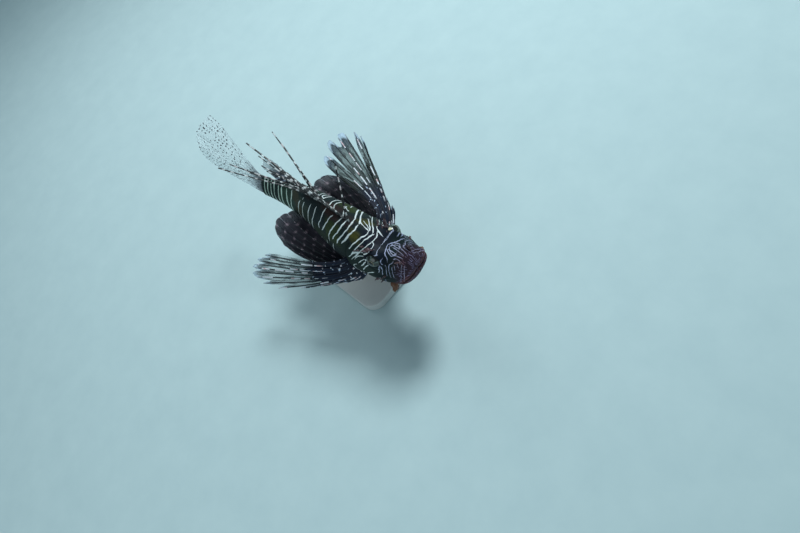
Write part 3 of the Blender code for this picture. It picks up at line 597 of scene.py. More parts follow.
headLines = (
    # both sides
    (.19, (.14, 0), (.142, 16), (.139, 26)), (.60, (.139, 32), (.143, 43), (.154, 53), (.168, 58)),
    (.44, (.136, 26), (.147, 30), (.16, 39), (.181, 51), (.205, 54), (.235, 60), (.262, 72)),
    (.58, (.155, 42), (.173, 51), (.196, 57), (.222, 66), (.245, 76)), (.56, (.183, 62), (.20, 64), (.218, 73), (.24, 82)),
    (.50, (.192, 70), (.210, 77), (.232, 88)), (.36, (.113, 2), (.108, 8), (.102, 13), (.093, 16), (.086, 14), (.083, 7)),
    (.34, (.116, 12), (.111, 15), (.103, 19), (.094, 22), (.088, 18), (.079, 14), (.070, 13), (.058, 12)),
    (.30, (.114, 10), (.104, 9), (.094, 9), (.083, 10)), (.34, (.084, 28), (.079, 23), (.069, 22), (.060, 24)),
    (.36, (.083, 33), (.087, 40), (.096, 47), (.098, 58), (.097, 72), (.096, 84)),
    (.32, (.086, 50), (.084, 67), (.081, 84)), (.30, (.078, 44), (.074, 56)), (.26, (.070, 33), (.062, 46)),
    (.46, (.119, 33), (.122, 41), (.117, 47)), (.56, (.131, 56), (.138, 66), (.148, 80)),
    (.50, (.124, 54), (.126, 66), (.132, 82)), (.28, (.045, 32), (.042, 60), (.044, 96)),
    (.24, (.054, 30), (.052, 60), (.055, 90)), (.30, (.110, 52), (.109, 66), (.112, 82)),
    # the cheek and gill cover below the eye
    (.36, (.150, 92), (.170, 104), (.196, 108)), (.34, (.130, 96), (.146, 112), (.170, 122), (.20, 124)),
    (.50, (.175, 84), (.205, 90), (.222, 96)), (.54, (.262, 82), (.288, 90), (.292, 102), (.270, 106), (.245, 100)),
    (.50, (.235, 112), (.262, 116), (.282, 112)), (.34, (.215, 124), (.240, 130), (.262, 132)),
    (.32, (.150, 134), (.180, 142), (.215, 148), (.25, 150)), (.30, (.12, 150), (.15, 158), (.19, 162)),
)
snoutLines = (
    # one line each: degrees below 0 lie on the right
    (.46, (.11, 60), (.107, 42), (.105, 29), (.108, 20), (.115, 13), (.122, 3), (.121, -7), (.119, -16), (.116, -24),
     (.110, -29), (.105, -34), (.104, -42)),
    (.56, (.144, 66), (.130, 48), (.118, 31)), (.50, (.133, 74), (.122, 56), (.112, 40)), (.34, (.104, 3), (.09, 3), (.077, 2), (.062, 0)),
    (.19, (.14, 0), (.138, 12), (.138, 25)), (.36, (.090, 37), (.082, 34), (.080, 27)), (.34, (.081, 14), (.069, 13)),
)


def everyLine():
    # each line with its half width and its places, the right side's angles below 0
    for lines, sides in ((bodyLines, (1, -1)), (rightLines, (-1,)), (leftLines, (1,)), (headLines, (1, -1)),
                         (snoutLines, (1,))):
        for half, *keys in lines:
            for side in sides:
                yield half, smoothLine([(s, side * degrees) for s, degrees in keys], 8 * len(keys))


def paleLines(flat, out):
    # for each point the signed offset from the nearest pale line, its distance and half width there, in mm
    offset, distance, halfWidth = np.full(len(flat), 9.0), np.full(len(flat), 9.0), np.zeros(len(flat))
    for k, (half, path) in enumerate(everyLine()):
        wave = 0.0006 * np.sin(np.arange(len(path)) * 0.8 + 2.1 * k)
        line = skinPoint(path[:, 0] + wave, np.radians(path[:, 1]))
        gap, where, signed = nearLine(flat, line, out)
        slim = 0.66 + 0.20 * ease(path[0, 0], .12, .20) + 0.34 * ease(path[0, 0], .68, .78)
        width = half * slim * (0.88 + 0.22 * np.sin(where * 9.0 + 1.7 * k))
        width = width * np.minimum(1.0, 0.35 + 7.0 * np.minimum(where, 1 - where))
        closer = gap * 1000 - width < distance - halfWidth
        distance = np.where(closer, gap * 1000, distance)
        offset = np.where(closer, signed * 1000, offset)
        halfWidth = np.where(closer, width, halfWidth)
    return offset, distance, halfWidth


def makeSkin(material):
    s, signed, flat, out, points, values = skinShape()
    rows, columns = s.shape
    degrees = np.abs(signed)
    offset, distance, halfWidth = paleLines(flat, out)
    snoutTip = placeAt(0.020, 0.0, -0.006) + np.array((0.0012, 0, 0))
    ring = points[:columns]
    extra, extraFaces = [], []
    # three rings close the snout to a point, and three the end of the tail stalk
    tailEnd = points[-columns:]
    tailTip = tailEnd.mean(0)
    allPoints = [points]
    start = len(points)
    faces = closeEnds(points, rows, columns)
    for inner, tip, first in ((ring, snoutTip, 0), (tailEnd, tailTip, (rows - 1) * columns)):
        last = first
        for part in (.25, .5, .75):
            bulge = np.array((0.0011, 0, 0)) * math.sin(part * np.pi / 2) if first == 0 else 0.0
            allPoints.append(inner + (tip - inner) * part + bulge * (1 - part))
            for c in range(columns):
                d = (c + 1) % columns
                quad = [last + c, last + d, start + d, start + c]
                faces.append(quad if first else quad[::-1])
            last = start
            start += columns
        allPoints.append(tip[None])
        for c in range(columns):
            d = (c + 1) % columns
            face = [last + c, last + d, start]
            faces.append(face if first else face[::-1])
        start += 1
    points = np.concatenate(allPoints)
    # the lips stay behind the CAD's snout
    over = np.maximum(points[:, 0] - cadBox[1][0] + 0.0016, 0.0)
    points[:, 0] += 0.0014 * np.tanh(over / 0.0014) - over
    extraCount = len(points) - rows * columns
    half = (extraCount - 2) // 2 + 1

    # the mouth line and the lips run on across the closed end of the snout
    deep, wide = skinPlan["mouthGroove"]
    turns, flatAcross = np.linspace(-1, 1, 61), np.array((0.0, 1.0, 1.0))
    end = slice(rows * columns, rows * columns + half)
    gap = nearLine(points[end] * flatAcross, mouthPoint(turns, 0 * turns) * flatAcross)[0]
    endLip, endCrease = np.exp(-(gap / 0.0030) ** 4), np.exp(-(gap / wide) ** 2)
    points[end, 0] -= deep * endCrease

    def stretch(number, head, tail):
        return np.concatenate([number, np.full(half, head), np.full(half, tail)])

    sFlat, degreesFlat = s.ravel(), degrees.ravel()
    perimeter = 0.22 * (backLine(s) - bellyLine(s) + 2 * halfLine(s)) * 0.80 * 1000
    around = (signed / 180 * perimeter).ravel()
    values = {
        "offset": stretch(offset, 9, 9),
        "gap": stretch(distance, 9, 9),
        "half": stretch(halfWidth, 0, 0),
        "along": stretch(sFlat, .02, 1.0),
        "degrees": stretch(degreesFlat, 90, 90),
        "side": stretch(around, 0, 0),
        "shadedCrease": stretch(values["shadedCrease"], endCrease, 0),
        "paleAndHighlight": stretch(values["paleAndHighlight"], 0, 0),
        "lip": stretch(values["lip"], endLip, 0),
    }
    mesh = meshFrom("lionfish_skin", points, faces, values)
    mesh.validate()
    work = bmesh.new()
    work.from_mesh(mesh)
    bmesh.ops.recalc_face_normals(work, faces=work.faces)
    work.to_mesh(mesh)
    work.free()
    return addPiece("lionfish_skin", mesh, material)


scaleGroup, work, start, end = newGroup(
    "fishScales", (("Along", 'Float', 0.0), ("Around", 'Float', 0.0), ("Size", 'Float', 1.5)),
    (("Height", 'Float'), ("Edge", 'Float')))
rowNumber = work.math('DIVIDE', start["Around"], start["Size"])
rowWhole = work.math('ROUND', rowNumber)
odd = work.math('MULTIPLY', work.math('FLOORED_MODULO', rowWhole, 2.0), 0.5)
columnNumber = work.math('ADD', work.math('DIVIDE', start["Along"], work.math('MULTIPLY', start["Size"], 0.8)), odd)
acrossScale = work.math('SUBTRACT', rowNumber, rowWhole)
alongScale = work.math('FRACT', work.math('ADD', columnNumber, work.math(
    'MULTIPLY', work.math('MULTIPLY', acrossScale, acrossScale), 1.6)))
edge = work.step(alongScale, 0.80, 1.0)
height = work.math('SUBTRACT', alongScale, work.math('MULTIPLY', edge, 1.0))
ditch = work.step(work.math('ABSOLUTE', acrossScale), 0.36, 0.5)
work.put(end["Height"], work.math('SUBTRACT', height, work.math('MULTIPLY', ditch, 0.25)))
work.put(end["Edge"], work.math('MAXIMUM', edge, ditch))

wetGroup, work, start, end = newGroup(
    "wetSkin", (("Fine", 'Float', 0.0), ("Low", 'Float', 0.25), ("High", 'Float', 0.5)),
    (("Roughness", 'Float'), ("Mottle", 'Float')))
place = work.place()
mottle = work.noise(place, 130.0, 4.0, 0.62)
speckle = work.noise(place, 900.0, 2.0, 0.5)
blend = work.math('ADD', work.math('MULTIPLY', mottle, 0.75), work.math('MULTIPLY', speckle, 0.25))
work.put(end["Mottle"], blend)
work.put(end["Roughness"], work.add('ShaderNodeMapRange', {"clamp": True}, i0=blend, i1=0.3, i2=0.7,
                                    i3=start["Low"], i4=start["High"]).outputs[0])


colourFields = (
    # place along from and to, degrees from and to, colour, how much of it
    (.74, .86, 28, 120, (.030, .070, .040), 0.70), (.86, 1.0, 20, 140, (.016, .034, .030), 0.6),
    (.66, .74, 26, 100, (.060, .046, .016), 0.70), (.54, .66, 30, 110, (.020, .034, .014), 0.7),
    (.43, .54, 60, 125, (.030, .040, .012), 0.65), (.33, .42, 26, 66, (.042, .060, .010), 0.85),
    (.35, .43, -9, 22, (.045, .016, .012), 0.70), (.24, .33, 44, 100, (.016, .030, .020), 0.6),
    (.225, .275, 12, 34, (.120, .110, .014), 0.75), (.17, .24, 74, 130, (.018, .034, .020), 0.7),
    (.12, .22, -9, 60, (.004, .007, .020), 0.80),
)


def skinMaterial():
    material, work, shader = newMaterial("lionfishSkin", {
        "Specular IOR Level": 0.15, "Coat Roughness": 0.22, "Coat Weight": 0.02})
    along, degrees = work.value("along"), work.value("degrees")
    shadedCrease, side = work.value("shadedCrease"), work.value("side")
    # how far inside a pale line, in mm: the signed offset is true between points of the mesh
    away = work.math('MAXIMUM', work.math('ABSOLUTE', work.value("offset")),
                     work.math('SUBTRACT', work.value("gap"), 0.34))
    line = work.math('SUBTRACT', work.value("half"), away)
    place = work.place()
    wet = work.group(wetGroup, Low=0.54, High=0.80)
    millimetres = work.math('MULTIPLY', along, 220.0)
    size = work.ramp(along, 0.15, 1.0, 1.5, 1.15)
    scales = work.group(scaleGroup, Along=millimetres, Around=side, Size=size)
    scaled = work.step(along, 0.17, 0.26)

    # ground colours: near black, with brown, olive and maroon fields
    patch = work.noise(place, 55.0, 3.0, 0.55)
    near = work.math('SUBTRACT', 1.0, work.step(degrees, 4.0, 26.0))
    jaws = work.math('SUBTRACT', 1.0, work.step(work.math('ADD', along, work.math('MULTIPLY', patch, 0.035)),
                                                0.070, 0.112))
    throat = work.math('MULTIPLY', work.step(degrees, 112.0, 150.0), work.math('SUBTRACT', 1.0, work.step(
        along, 0.30, 0.42)))
    jaws = work.math('MAXIMUM', jaws, work.math('MULTIPLY', throat, 0.75))
    brownBand = work.math('MULTIPLY', near, work.step(work.math('SINE', work.math('MULTIPLY', along, 47.0)),
                                                      0.1, 0.9))
    ground = work.mix(wet["Mottle"], (.003, .007, .009), (.010, .022, .023))
    ground = work.mix(work.math('MULTIPLY', brownBand, 0.5), ground, (.030, .011, .010))
    loose = work.math('MULTIPLY', work.math('SUBTRACT', patch, 0.5), 0.10)
    roughAlong = work.math('ADD', along, loose)
    roughDegrees = work.math('ADD', degrees, work.math('MULTIPLY', loose, 180.0))
    for first, last, upper, lower, tint, share in colourFields:
        field = work.math('MULTIPLY', work.band(roughAlong, first, last, 0.016),
                          work.band(roughDegrees, upper, lower, 9.0))
        speckled = work.ramp(wet["Mottle"], 0.35, 0.60, 0.45, 1.0)
        ground = work.mix(work.math('MULTIPLY', work.math('MULTIPLY', field, share), speckled), ground, tint)
    belly = work.math('MULTIPLY', work.step(degrees, 138.0, 172.0), work.step(along, 0.24, 0.42))
    ground = work.mix(work.math('MULTIPLY', belly, 0.75), ground, (.360, .270, .220))
    maroon = work.mix(wet["Mottle"], (.008, .007, .014), (.050, .024, .036))
    ground = work.mix(jaws, ground, maroon)
    lipColour = work.mix(wet["Mottle"], (.060, .022, .026), (.200, .085, .088))
    ground = work.mix(work.math('MULTIPLY', work.value("lip"), 0.85), ground, lipColour)

    # fine pale lines on the jaws that run towards the lips
    wobble = work.noise(place, 210.0, 2.0, 0.5)
    fine = work.math('SINE', work.math('ADD', work.math('MULTIPLY', degrees, 0.70), work.math(
        'MULTIPLY', wobble, 17.0)))
    broken = work.step(work.noise(place, 330.0, 1.0, 0.5), 0.42, 0.56)
    finePale = work.math('MULTIPLY', work.math('MULTIPLY', work.step(fine, 0.55, 0.98), broken), jaws)
    fineColour = work.mix(work.step(patch, 0.45, 0.55), (.26, .24, .40), (.30, .15, .19))
    ground = work.mix(work.math('MULTIPLY', finePale, 0.68), ground, fineColour)

    wander = work.math('MULTIPLY', work.math('SUBTRACT', work.noise(place, 420.0, 2.0, 0.6), 0.5), 0.34)
    inside = work.math('ADD', line, wander)
    pale = work.step(inside, -0.07, 0.07)
    glowSide = work.math('MULTIPLY', work.step(inside, -0.7, 0.0), 0.06)
    paleColour = work.mix(work.step(along, 0.60, 0.85), (.84, .90, .90), (.66, .86, .74))
    headSide = work.math('SUBTRACT', 1.0, work.step(along, 0.125, 0.18))
    paleColour = work.mix(headSide, paleColour, (.50, .54, .78))
    paleColour = work.mix(work.math('MULTIPLY', work.math('SUBTRACT', 1.0, work.step(along, 0.06, 0.11)), 0.7),
                          paleColour, (.26, .22, .34))
    dirty = work.mix(work.math('MULTIPLY', work.step(wet["Mottle"], 0.45, 0.70), 0.35), paleColour, (.40, .34, .30))
    colour = work.mix(glowSide, ground, (.30, .26, .22))
    colour = work.mix(pale, colour, dirty)
    colour = work.mix(work.math('MULTIPLY', work.math('MULTIPLY', scales["Edge"], scaled), 0.22), colour,
                      (.004, .004, .004))
    # painted shade: near black in the folds, the pits and along the mouth line
    colour = work.mix(work.math('MULTIPLY', shadedCrease, 0.95), colour, (.003, .002, .002))
    # the pale patch by the left eye, partly a painted highlight, in gold and white
    paleAndHighlightMask = work.step(work.math('ADD', work.value("paleAndHighlight"), work.math('MULTIPLY', wander, 0.8)), 0.42, 0.58)
    colour = work.mix(paleAndHighlightMask, colour, work.mix(wet["Mottle"], (.62, .50, .16), (.92, .94, .88)))
    work.put(shader.inputs["Base Color"], colour)
    work.put(shader.inputs["Roughness"], wet["Roughness"])

    wart = work.cells(place, 620.0, 'SMOOTH_F1')
    rough = work.math('MULTIPLY', work.math('SUBTRACT', 1.0, wart), work.math('SUBTRACT', 1.0, scaled))
    high = work.math('ADD', work.math('MULTIPLY', work.math('MULTIPLY', scales["Height"], scaled), 0.9),
                     work.math('MULTIPLY', rough, 0.7))
    high = work.math('ADD', high, work.math('MULTIPLY', wet["Mottle"], 0.8))
    bump = work.add('ShaderNodeBump', None, Strength=0.65, Distance=0.00034, Height=high)
    work.put(shader.inputs["Normal"], bump.outputs[0])
    return material


skin = makeSkin(skinMaterial())
finish(skin, "body_skin", "head", "gill_cover_left", "gill_cover_right", "body", "tail_stalk")
print("skin made")


# fins: thin sheets hung between rays, and the rays themselves as tapered rods

def rayPath(root, leave, tip, bow, t, lift=0.16):
    # a fin ray leaves the skin straight out and bends round to its tip
    root, leave, tip, bow = (np.asarray(v, float) for v in (root, leave, tip, bow))
    t = np.asarray(t, float)[:, None]
    first = root + leave * (lift * np.linalg.norm(tip - root))
    second = root + (tip - root) * 0.62 + bow
    u = 1.0 - t
    return root * u ** 3 + first * (3 * u * u * t) + second * (3 * u * t * t) + tip * t ** 3


def tangents(line):
    way = np.gradient(line, axis=0)
    return unit(way)


def turnRound(vectors, axis, angle):
    angle = np.asarray(angle)[..., None]
    straight = np.sum(vectors * axis, -1, keepdims=True)
    return vectors * np.cos(angle) + np.cross(axis, vectors) * np.sin(angle) \
        + axis * straight * (1 - np.cos(angle))


def shorter(line, lobe):
    # a ray ends a little short of the rounded edge of its web
    t = np.linspace(0, 1, len(line))
    return np.stack([np.interp(t * (1.0 - lobe), t, line[:, c]) for c in range(3)], 1)


def finSheet(rays, plan):
    # one strip of sheet along each ray, which meets its neighbours half way as far as the web reaches
    rows, columns = len(rays[0]), plan["columns"]
    t = np.linspace(0, 1, rows)
    last = len(rays) - 1
    fractions = np.linspace(-1, 1, 2 * columns + 1)
    points, faces = [], []
    rayNumber, alongRay, acrossVane, distance = [], [], [], []
    for j, ray in enumerate(rays):
        way = tangents(ray)
        steps = np.concatenate([[0], np.cumsum(np.linalg.norm(np.diff(ray, axis=0), axis=1))])
        strip = np.zeros((len(fractions), rows, 3))
        placeAcross = np.zeros((len(fractions), rows))
        for k, f in enumerate(fractions):
            towards = 1 if f >= 0 else -1
            size = abs(f)
            other = j + towards
            outer = other < 0 or other > last
            near = rays[j - towards] if outer else rays[other]
            gap = (ray - near) if outer else (near - ray)
            across = gap - np.sum(gap * way, -1, keepdims=True) * way
            across = unit(across)
            curl = plan["curl"](j, towards, t) * size
            across = turnRound(across, way, curl)
            wide = plan["vane"](j, towards, t)
            vane = shorter(ray, plan["lobe"]) + across * (wide * size)[:, None]
            if outer:
                strip[k] = vane
                placeAcross[k] = j + towards * 0.12 * size
                continue
            half = 0.5 * size
            middle = 4 * half * (1 - half)
            placeT = t * (1.0 - plan["notch"] * middle - plan["lobe"] * (1 - middle))
            mine = np.stack([np.interp(placeT, t, ray[:, c]) for c in range(3)], 1)
            theirs = np.stack([np.interp(placeT, t, near[:, c]) for c in range(3)], 1)
            web = mine + (theirs - mine) * half
            normal = unit(np.cross(way, gap)) * towards
            sag = plan["sag"](j + towards * half, t) * math.sin(math.pi * half)
            web = web + normal * (sag * ease(t, 0.02, 0.2))[:, None]
            reachTo = plan["web"](min(j, other))
            free = ease(t, reachTo, reachTo + plan["loose"])[:, None]
            strip[k] = web * (1 - free) + vane * free
            placeAcross[k] = j + towards * half
        start = len(fractions) * rows * j
        points.append(strip.reshape(-1, 3))
        grid = gridFaces(len(fractions), rows) + start
        faces.append(grid)
        rayNumber.append(placeAcross.ravel())
        alongRay.append(np.tile(t, len(fractions)))
        acrossVane.append(np.repeat(np.abs(fractions), rows))
        distance.append(np.tile(steps * 1000, len(fractions)))
    points, faces = np.concatenate(points), np.concatenate(faces)
    values = {"ray": np.concatenate(rayNumber), "along": np.concatenate(alongRay),
              "across": np.concatenate(acrossVane), "mm": np.concatenate(distance),
              "rod": np.zeros(len(points))}
    return points, faces, values


def rodTree(name):
    # rods along lines: each point of a line has its own radius
    tree = bpy.data.node_groups.new(name, 'GeometryNodeTree')
    face = tree.interface
    face.new_socket("Geometry", in_out='INPUT', socket_type='NodeSocketGeometry')
    thick = face.new_socket("Thickness", in_out='INPUT', socket_type='NodeSocketFloat')
    sides = face.new_socket("Sides", in_out='INPUT', socket_type='NodeSocketInt')
    finishSocket = face.new_socket("Finish", in_out='INPUT', socket_type='NodeSocketMaterial')
    face.new_socket("Geometry", in_out='OUTPUT', socket_type='NodeSocketGeometry')
    work = Nodes(tree)
    start = tree.nodes.new('NodeGroupInput').outputs
    end = tree.nodes.new('NodeGroupOutput').inputs
    line = work.add('GeometryNodeMeshToCurve', None, i0=start["Geometry"])
    radius = work.add('GeometryNodeInputNamedAttribute', {"data_type": 'FLOAT'}, Name="radius")
    size = work.math('MULTIPLY', radius.outputs[0], start["Thickness"])
    circle = work.add('GeometryNodeCurvePrimitiveCircle', None, Resolution=start["Sides"], Radius=1.0)
    rods = work.add('GeometryNodeCurveToMesh', None, i0=line.outputs[0], i1=circle.outputs[0], Scale=size)
    rods.inputs["Fill Caps"].default_value = True
    real = work.add('GeometryNodeRealizeInstances', None, Geometry=rods.outputs[0])
    finished = work.add('GeometryNodeSetMaterial', None, Geometry=real.outputs[0], Material=start["Finish"])
    work.put(end[0], finished.outputs[0])
    return tree, {"thick": thick.identifier, "sides": sides.identifier, "finish": finishSocket.identifier}


rayRods, raySockets = rodTree("rayRods")


def makeRods(name, lines, radii, values, material, sides=8):
    # tapered rods along the lines, by the geometry nodes tree
    points = np.concatenate(lines)
    edges, start = [], 0
    for line in lines:
        edges += [(start + i, start + i + 1) for i in range(len(line) - 1)]
        start += len(line)
    mesh = bpy.data.meshes.new(name)
    mesh.from_pydata(points.tolist(), edges, [])
    addValues(mesh, "radius", np.concatenate(radii))
    for key, numbers in values.items():
        addValues(mesh, key, np.concatenate(numbers))
    rods = bpy.data.objects.new(name, mesh)
    bpy.context.scene.collection.objects.link(rods)
    change = rods.modifiers.new("Rods", 'NODES')
    change.node_group = rayRods
    change[raySockets["thick"]] = 1.0
    change[raySockets["sides"]] = sides
    change[raySockets["finish"]] = material
    settle(rods)
    mendMesh(rods.data, 0.000002)
    rods.data.shade_smooth()
    return rods


def makeFin(name, rays, plan, webMaterial, rodMaterial, slotName, node):
    points, faces, values = finSheet(rays, plan)
    mesh = meshFrom(name + "_web", points, faces, values)
    mendMesh(mesh, 0.000004)
    web = addPiece(name + "_web", mesh, webMaterial)
    solid = web.modifiers.new("Thickness", 'SOLIDIFY')
    solid.thickness = plan["thick"]
    solid.offset = 0.0
    solid.use_rim = True
    settle(web)
    web.data.shade_smooth()
    rows = len(rays[0])
    t = np.linspace(0, 1, rows)
    radii, ray, along_, mm, rod, across = [], [], [], [], [], []
    rays = [shorter(line, plan["lobe"]) for line in rays[:plan["rods"]]]
    for j, line in enumerate(rays):
        steps = np.concatenate([[0], np.cumsum(np.linalg.norm(np.diff(line, axis=0), axis=1))]) * 1000
        joint = 1.0 + plan["joints"] * (np.mod(steps, plan["jointStep"]) < plan["jointStep"] * 0.2)
        radii.append(plan["rod"](j, t) * joint)
        ray.append(np.full(rows, float(j)))
        along_.append(t)
        mm.append(steps)
        rod.append(np.ones(rows))
        across.append(np.zeros(rows))
    rods = makeRods(name + "_rays", rays, radii, {"ray": ray, "along": along_, "mm": mm, "rod": rod,
                                                  "across": across}, rodMaterial)
    fin = joinPieces(name, [web, rods])
    fin.data.shade_smooth()
    finish(fin, slotName, node)
    return fin


def spread(first, last, count):
    return [first + (last - first) * i / (count - 1) for i in range(count)]


dorsalSpines = (
    # place along the back, length, rake back from upright, lean to the left
    (.300, .235, 45, 38), (.330, .235, 70, 4), (.360, .285, 66, 2), (.390, .450, 58, -1),
    (.420, .395, 59, 14), (.450, .325, 64, 16), (.480, .345, 68, -1), (.510, .300, 70, 2),
    (.540, .405, 57, -23), (.570, .360, 60, -19), (.600, .275, 65, -20), (.630, .220, 66, -9),
    (.662, .180, 72, -11))


def spineRays(rows):
    rays = []
    t = np.linspace(0, 1, rows + 1)
    for s, long, rake, lean in dorsalSpines:
        up = unit(placeAt(s, 0, 1.0) - placeAt(s, 0, 0))
        left = unit(placeAt(s, 1.0, 0) - placeAt(s, 0, 0))
        root = placeAt(s, 0, backLine(s)) - up * 0.0012
        rearward = unit(np.cross(up, left))
        rearward = rearward if rearward[0] < 0 else -rearward
        rise = up * math.cos(math.radians(rake)) + rearward * math.sin(math.radians(rake))
        way = unit(rise * math.cos(math.radians(lean)) + left * math.sin(math.radians(lean)))
        rays.append(rayPath(root, up, root + up * 0.0012 + way * long * fishPlan["length"], (0, 0, 0), t))
    return rays


def medianRays(places, edge, lengths, rakes, lean, rows):
    outline = backLine if edge > 0 else bellyLine
    rays = []
    t = np.linspace(0, 1, rows + 1)
    for i, s in enumerate(places):
        part = i / (len(places) - 1)
        up = unit(placeAt(s, 0, 1.0) - placeAt(s, 0, 0)) * edge
        left = unit(placeAt(s, 1.0, 0) - placeAt(s, 0, 0))
        rearward = unit(placeAt(min(s + 0.02, 1.0), 0, 0) - placeAt(s - 0.02, 0, 0))
        slope = unit(placeAt(s + 0.01, 0, outline(s + 0.01)) - placeAt(s - 0.01, 0, outline(s - 0.01)))
        out = np.cross(left, slope)
        out = unit(out if out @ up > 0 else -out)
        root = placeAt(s, 0, outline(s)) + out * fishPlan["gap"]
        rake, swing = math.radians(rakes(part)), math.radians(lean)
        way = up * math.cos(rake) + rearward * math.sin(rake)
        way = unit(way * math.cos(swing) + left * math.sin(swing))
        rays.append(rayPath(root - out * 0.0012, out, root + way * lengths(part) * fishPlan["length"],
                            (0, 0, 0), t))
    return rays


def caudalRays(rows):
    tips = curveThrough((0.0, reach(-.842, .038, .262)), (.12, reach(-.864, -.008, .255)),
                        (.25, reach(-.870, -.058, .240)), (.5, reach(-.830, -.106, .198)),
                        (.75, reach(-.806, -.122, .146)), (1.0, reach(-.766, -.114, .082)))
    end = unit(placeAt(1.0, 0, 0) - placeAt(0.99, 0, 0))
    upward = unit(placeAt(1.0, 0, 1.0) - placeAt(1.0, 0, 0))
    rays = []
    for i in range(13):
        part = i / 12
        root = placeAt(1.0, 0, 0.047 - 0.094 * part) + end * fishPlan["gap"]
        bow = upward * (0.012 * (1.0 - ease(part, 0.0, 0.45)))
        rays.append(rayPath(root - end * 0.002, end, tips(part), bow, np.linspace(0, 1, rows + 1)))
    return rays


pairedTips = {
    "pectoralLeft": curveThrough((0.0, (-.250, .180, .070)), (0.2, (-.310, .275, .080)),
                                 (0.38, (-.330, .365, .040)), (0.52, (-.300, .422, .000)),
                                 (0.60, (-.225, .350, -.026)), (0.69, (-.106, .270, -.056)),
                                 (0.80, (-.050, .262, -.076)), (1.0, (.066, .227, -.110))),
    "pectoralRight": curveThrough((0.0, (-.290, -.305, -.060)), (0.2, (-.310, -.355, -.075)),
                                  (0.4, (-.315, -.400, -.105)), (0.55, (-.240, -.412, -.130)),
                                  (0.62, (-.158, -.380, -.145)), (0.70, (-.062, -.308, -.160)),
                                  (0.80, (.010, -.230, -.190)), (1.0, (.107, -.110, -.235))),
    "pelvicLeft": curveThrough((0.0, (-.150, .235, -.130)), (0.35, (-.268, .208, -.095)),
                               (0.65, (-.295, .160, -.030)), (1.0, (-.302, .088, -.025))),
    "pelvicRight": curveThrough((0.0, (-.160, -.200, -.120)), (0.2, (-.240, -.208, -.080)),
                                (0.4, (-.278, -.192, -.035)), (0.7, (-.300, -.142, .004)),
                                (1.0, (-.268, -.090, .012))),
}


def pectoralRays(side, tips, rows):
    rays = []
    for i in range(14):
        part = i / 13
        s, angle = 0.322 - 0.014 * part, side * math.radians(82.0 + 52.0 * part)
        root, out = skinPoint(s, angle), skinNormal(s, angle)
        rays.append(rayPath(root - out * 0.0005, out, reach(*tips(part)), (0, side * .004, -.002),
                            np.linspace(0, 1, rows + 1)))
    return rays


def pelvicRays(side, tips, rows):
    rays = []
    for i in range(6):
        part = i / 5
        s, angle = 0.335 + 0.022 * part, side * math.radians(157.0 + 11.0 * part)
        root, out = skinPoint(s, angle), skinNormal(s, angle)
        bow = (0, side * (0.008 + 0.009 * part), -0.004)
        rays.append(rayPath(root - out * 0.0008, out, reach(*tips(part)), bow,
                            np.linspace(0, 1, rows + 1), 0.24))
    # the last line is no ray: there the fin's inner membrane meets the belly
    places = np.linspace(.34, .80, 240)
    belly = skinPoint(places, side * math.radians(118))
    apart = np.linalg.norm(rays[-1][:, None] - belly[None], axis=2)
    s = np.maximum.accumulate(places[apart.argmin(axis=1)])
    s = .357 + (s - .357) * ease(np.linspace(0, 1, rows + 1), 0.0, 0.15)
    angle = side * np.radians(168 - 50 * ease(np.linspace(0, 1, rows + 1), 0.0, 0.4))
    rays.append(skinPoint(s, angle) - skinNormal(s, angle) * 0.0010)
    return rays


spotGroup, work, start, end = newGroup(
    "raySpots", (("Distance", 'Float', 0.0), ("Ray", 'Float', 0.0), ("Step", 'Float', 5.0),
                 ("Share", 'Float', 0.4), ("Soft", 'Float', 0.08), ("Scatter", 'Float', 0.3)),
    (("Mask", 'Float'), ("Number", 'Float')))
# bands at even steps along each ray, shifted from ray to ray and a little uneven
nearest = work.math('ROUND', start["Ray"])
shiftRay = work.math('FRACT', work.math('MULTIPLY', work.math('SINE', work.math('MULTIPLY', nearest, 12.9898)),
                                        43758.5453))
uneven = work.noise(work.join(work.math('MULTIPLY', start["Distance"], 0.11), work.math(
    'MULTIPLY', nearest, 3.7)), 1.0, 1.0)
position = work.math('DIVIDE', start["Distance"], start["Step"])
position = work.math('ADD', position, work.math('MULTIPLY', shiftRay, start["Scatter"]))
position = work.math('ADD', position, work.math('MULTIPLY', uneven, work.math('MULTIPLY', start["Scatter"], 1.5)))
inside = work.math('ABSOLUTE', work.math('SUBTRACT', work.math('FRACT', position), 0.5))
halfShare = work.math('MULTIPLY', start["Share"], 0.5)
work.put(end["Mask"], work.math('SUBTRACT', 1.0, work.step(
    inside, work.math('SUBTRACT', halfShare, start["Soft"]), work.math('ADD', halfShare, start["Soft"]))))
work.put(end["Number"], work.math('FLOOR', position))


def finValues(work):
    # what the fins' meshes carry: ray number, place along the ray, distance in mm, nearness to the ray
    ray, t, mm = work.value("ray"), work.value("along"), work.value("mm")
    off = work.math('ABSOLUTE', work.math('SUBTRACT', ray, work.math('ROUND', ray)))
    return ray, t, mm, off


def streakBump(work, shader, ray, mottle, depth):
    # fine branches of the rays run lengthwise through the web
    streak = work.math('SINE', work.math('MULTIPLY', ray, 38.0))
    high = work.math('ADD', work.math('MULTIPLY', streak, 0.45), mottle)
    bump = work.add('ShaderNodeBump', None, Strength=0.5, Distance=depth, Height=high)
    work.put(shader.inputs["Normal"], bump.outputs[0])
    return streak


def oneOf(work, number, ray, share):
    # picks a share of the bands at random, ray by ray
    seed = work.join(work.math('MULTIPLY', number, 7.3), work.math('MULTIPLY', work.math('ROUND', ray), 3.1))
    return work.step(work.noise(seed, 1.7, 1.0), 0.62 - 0.24 * share, 0.64 - 0.24 * share)


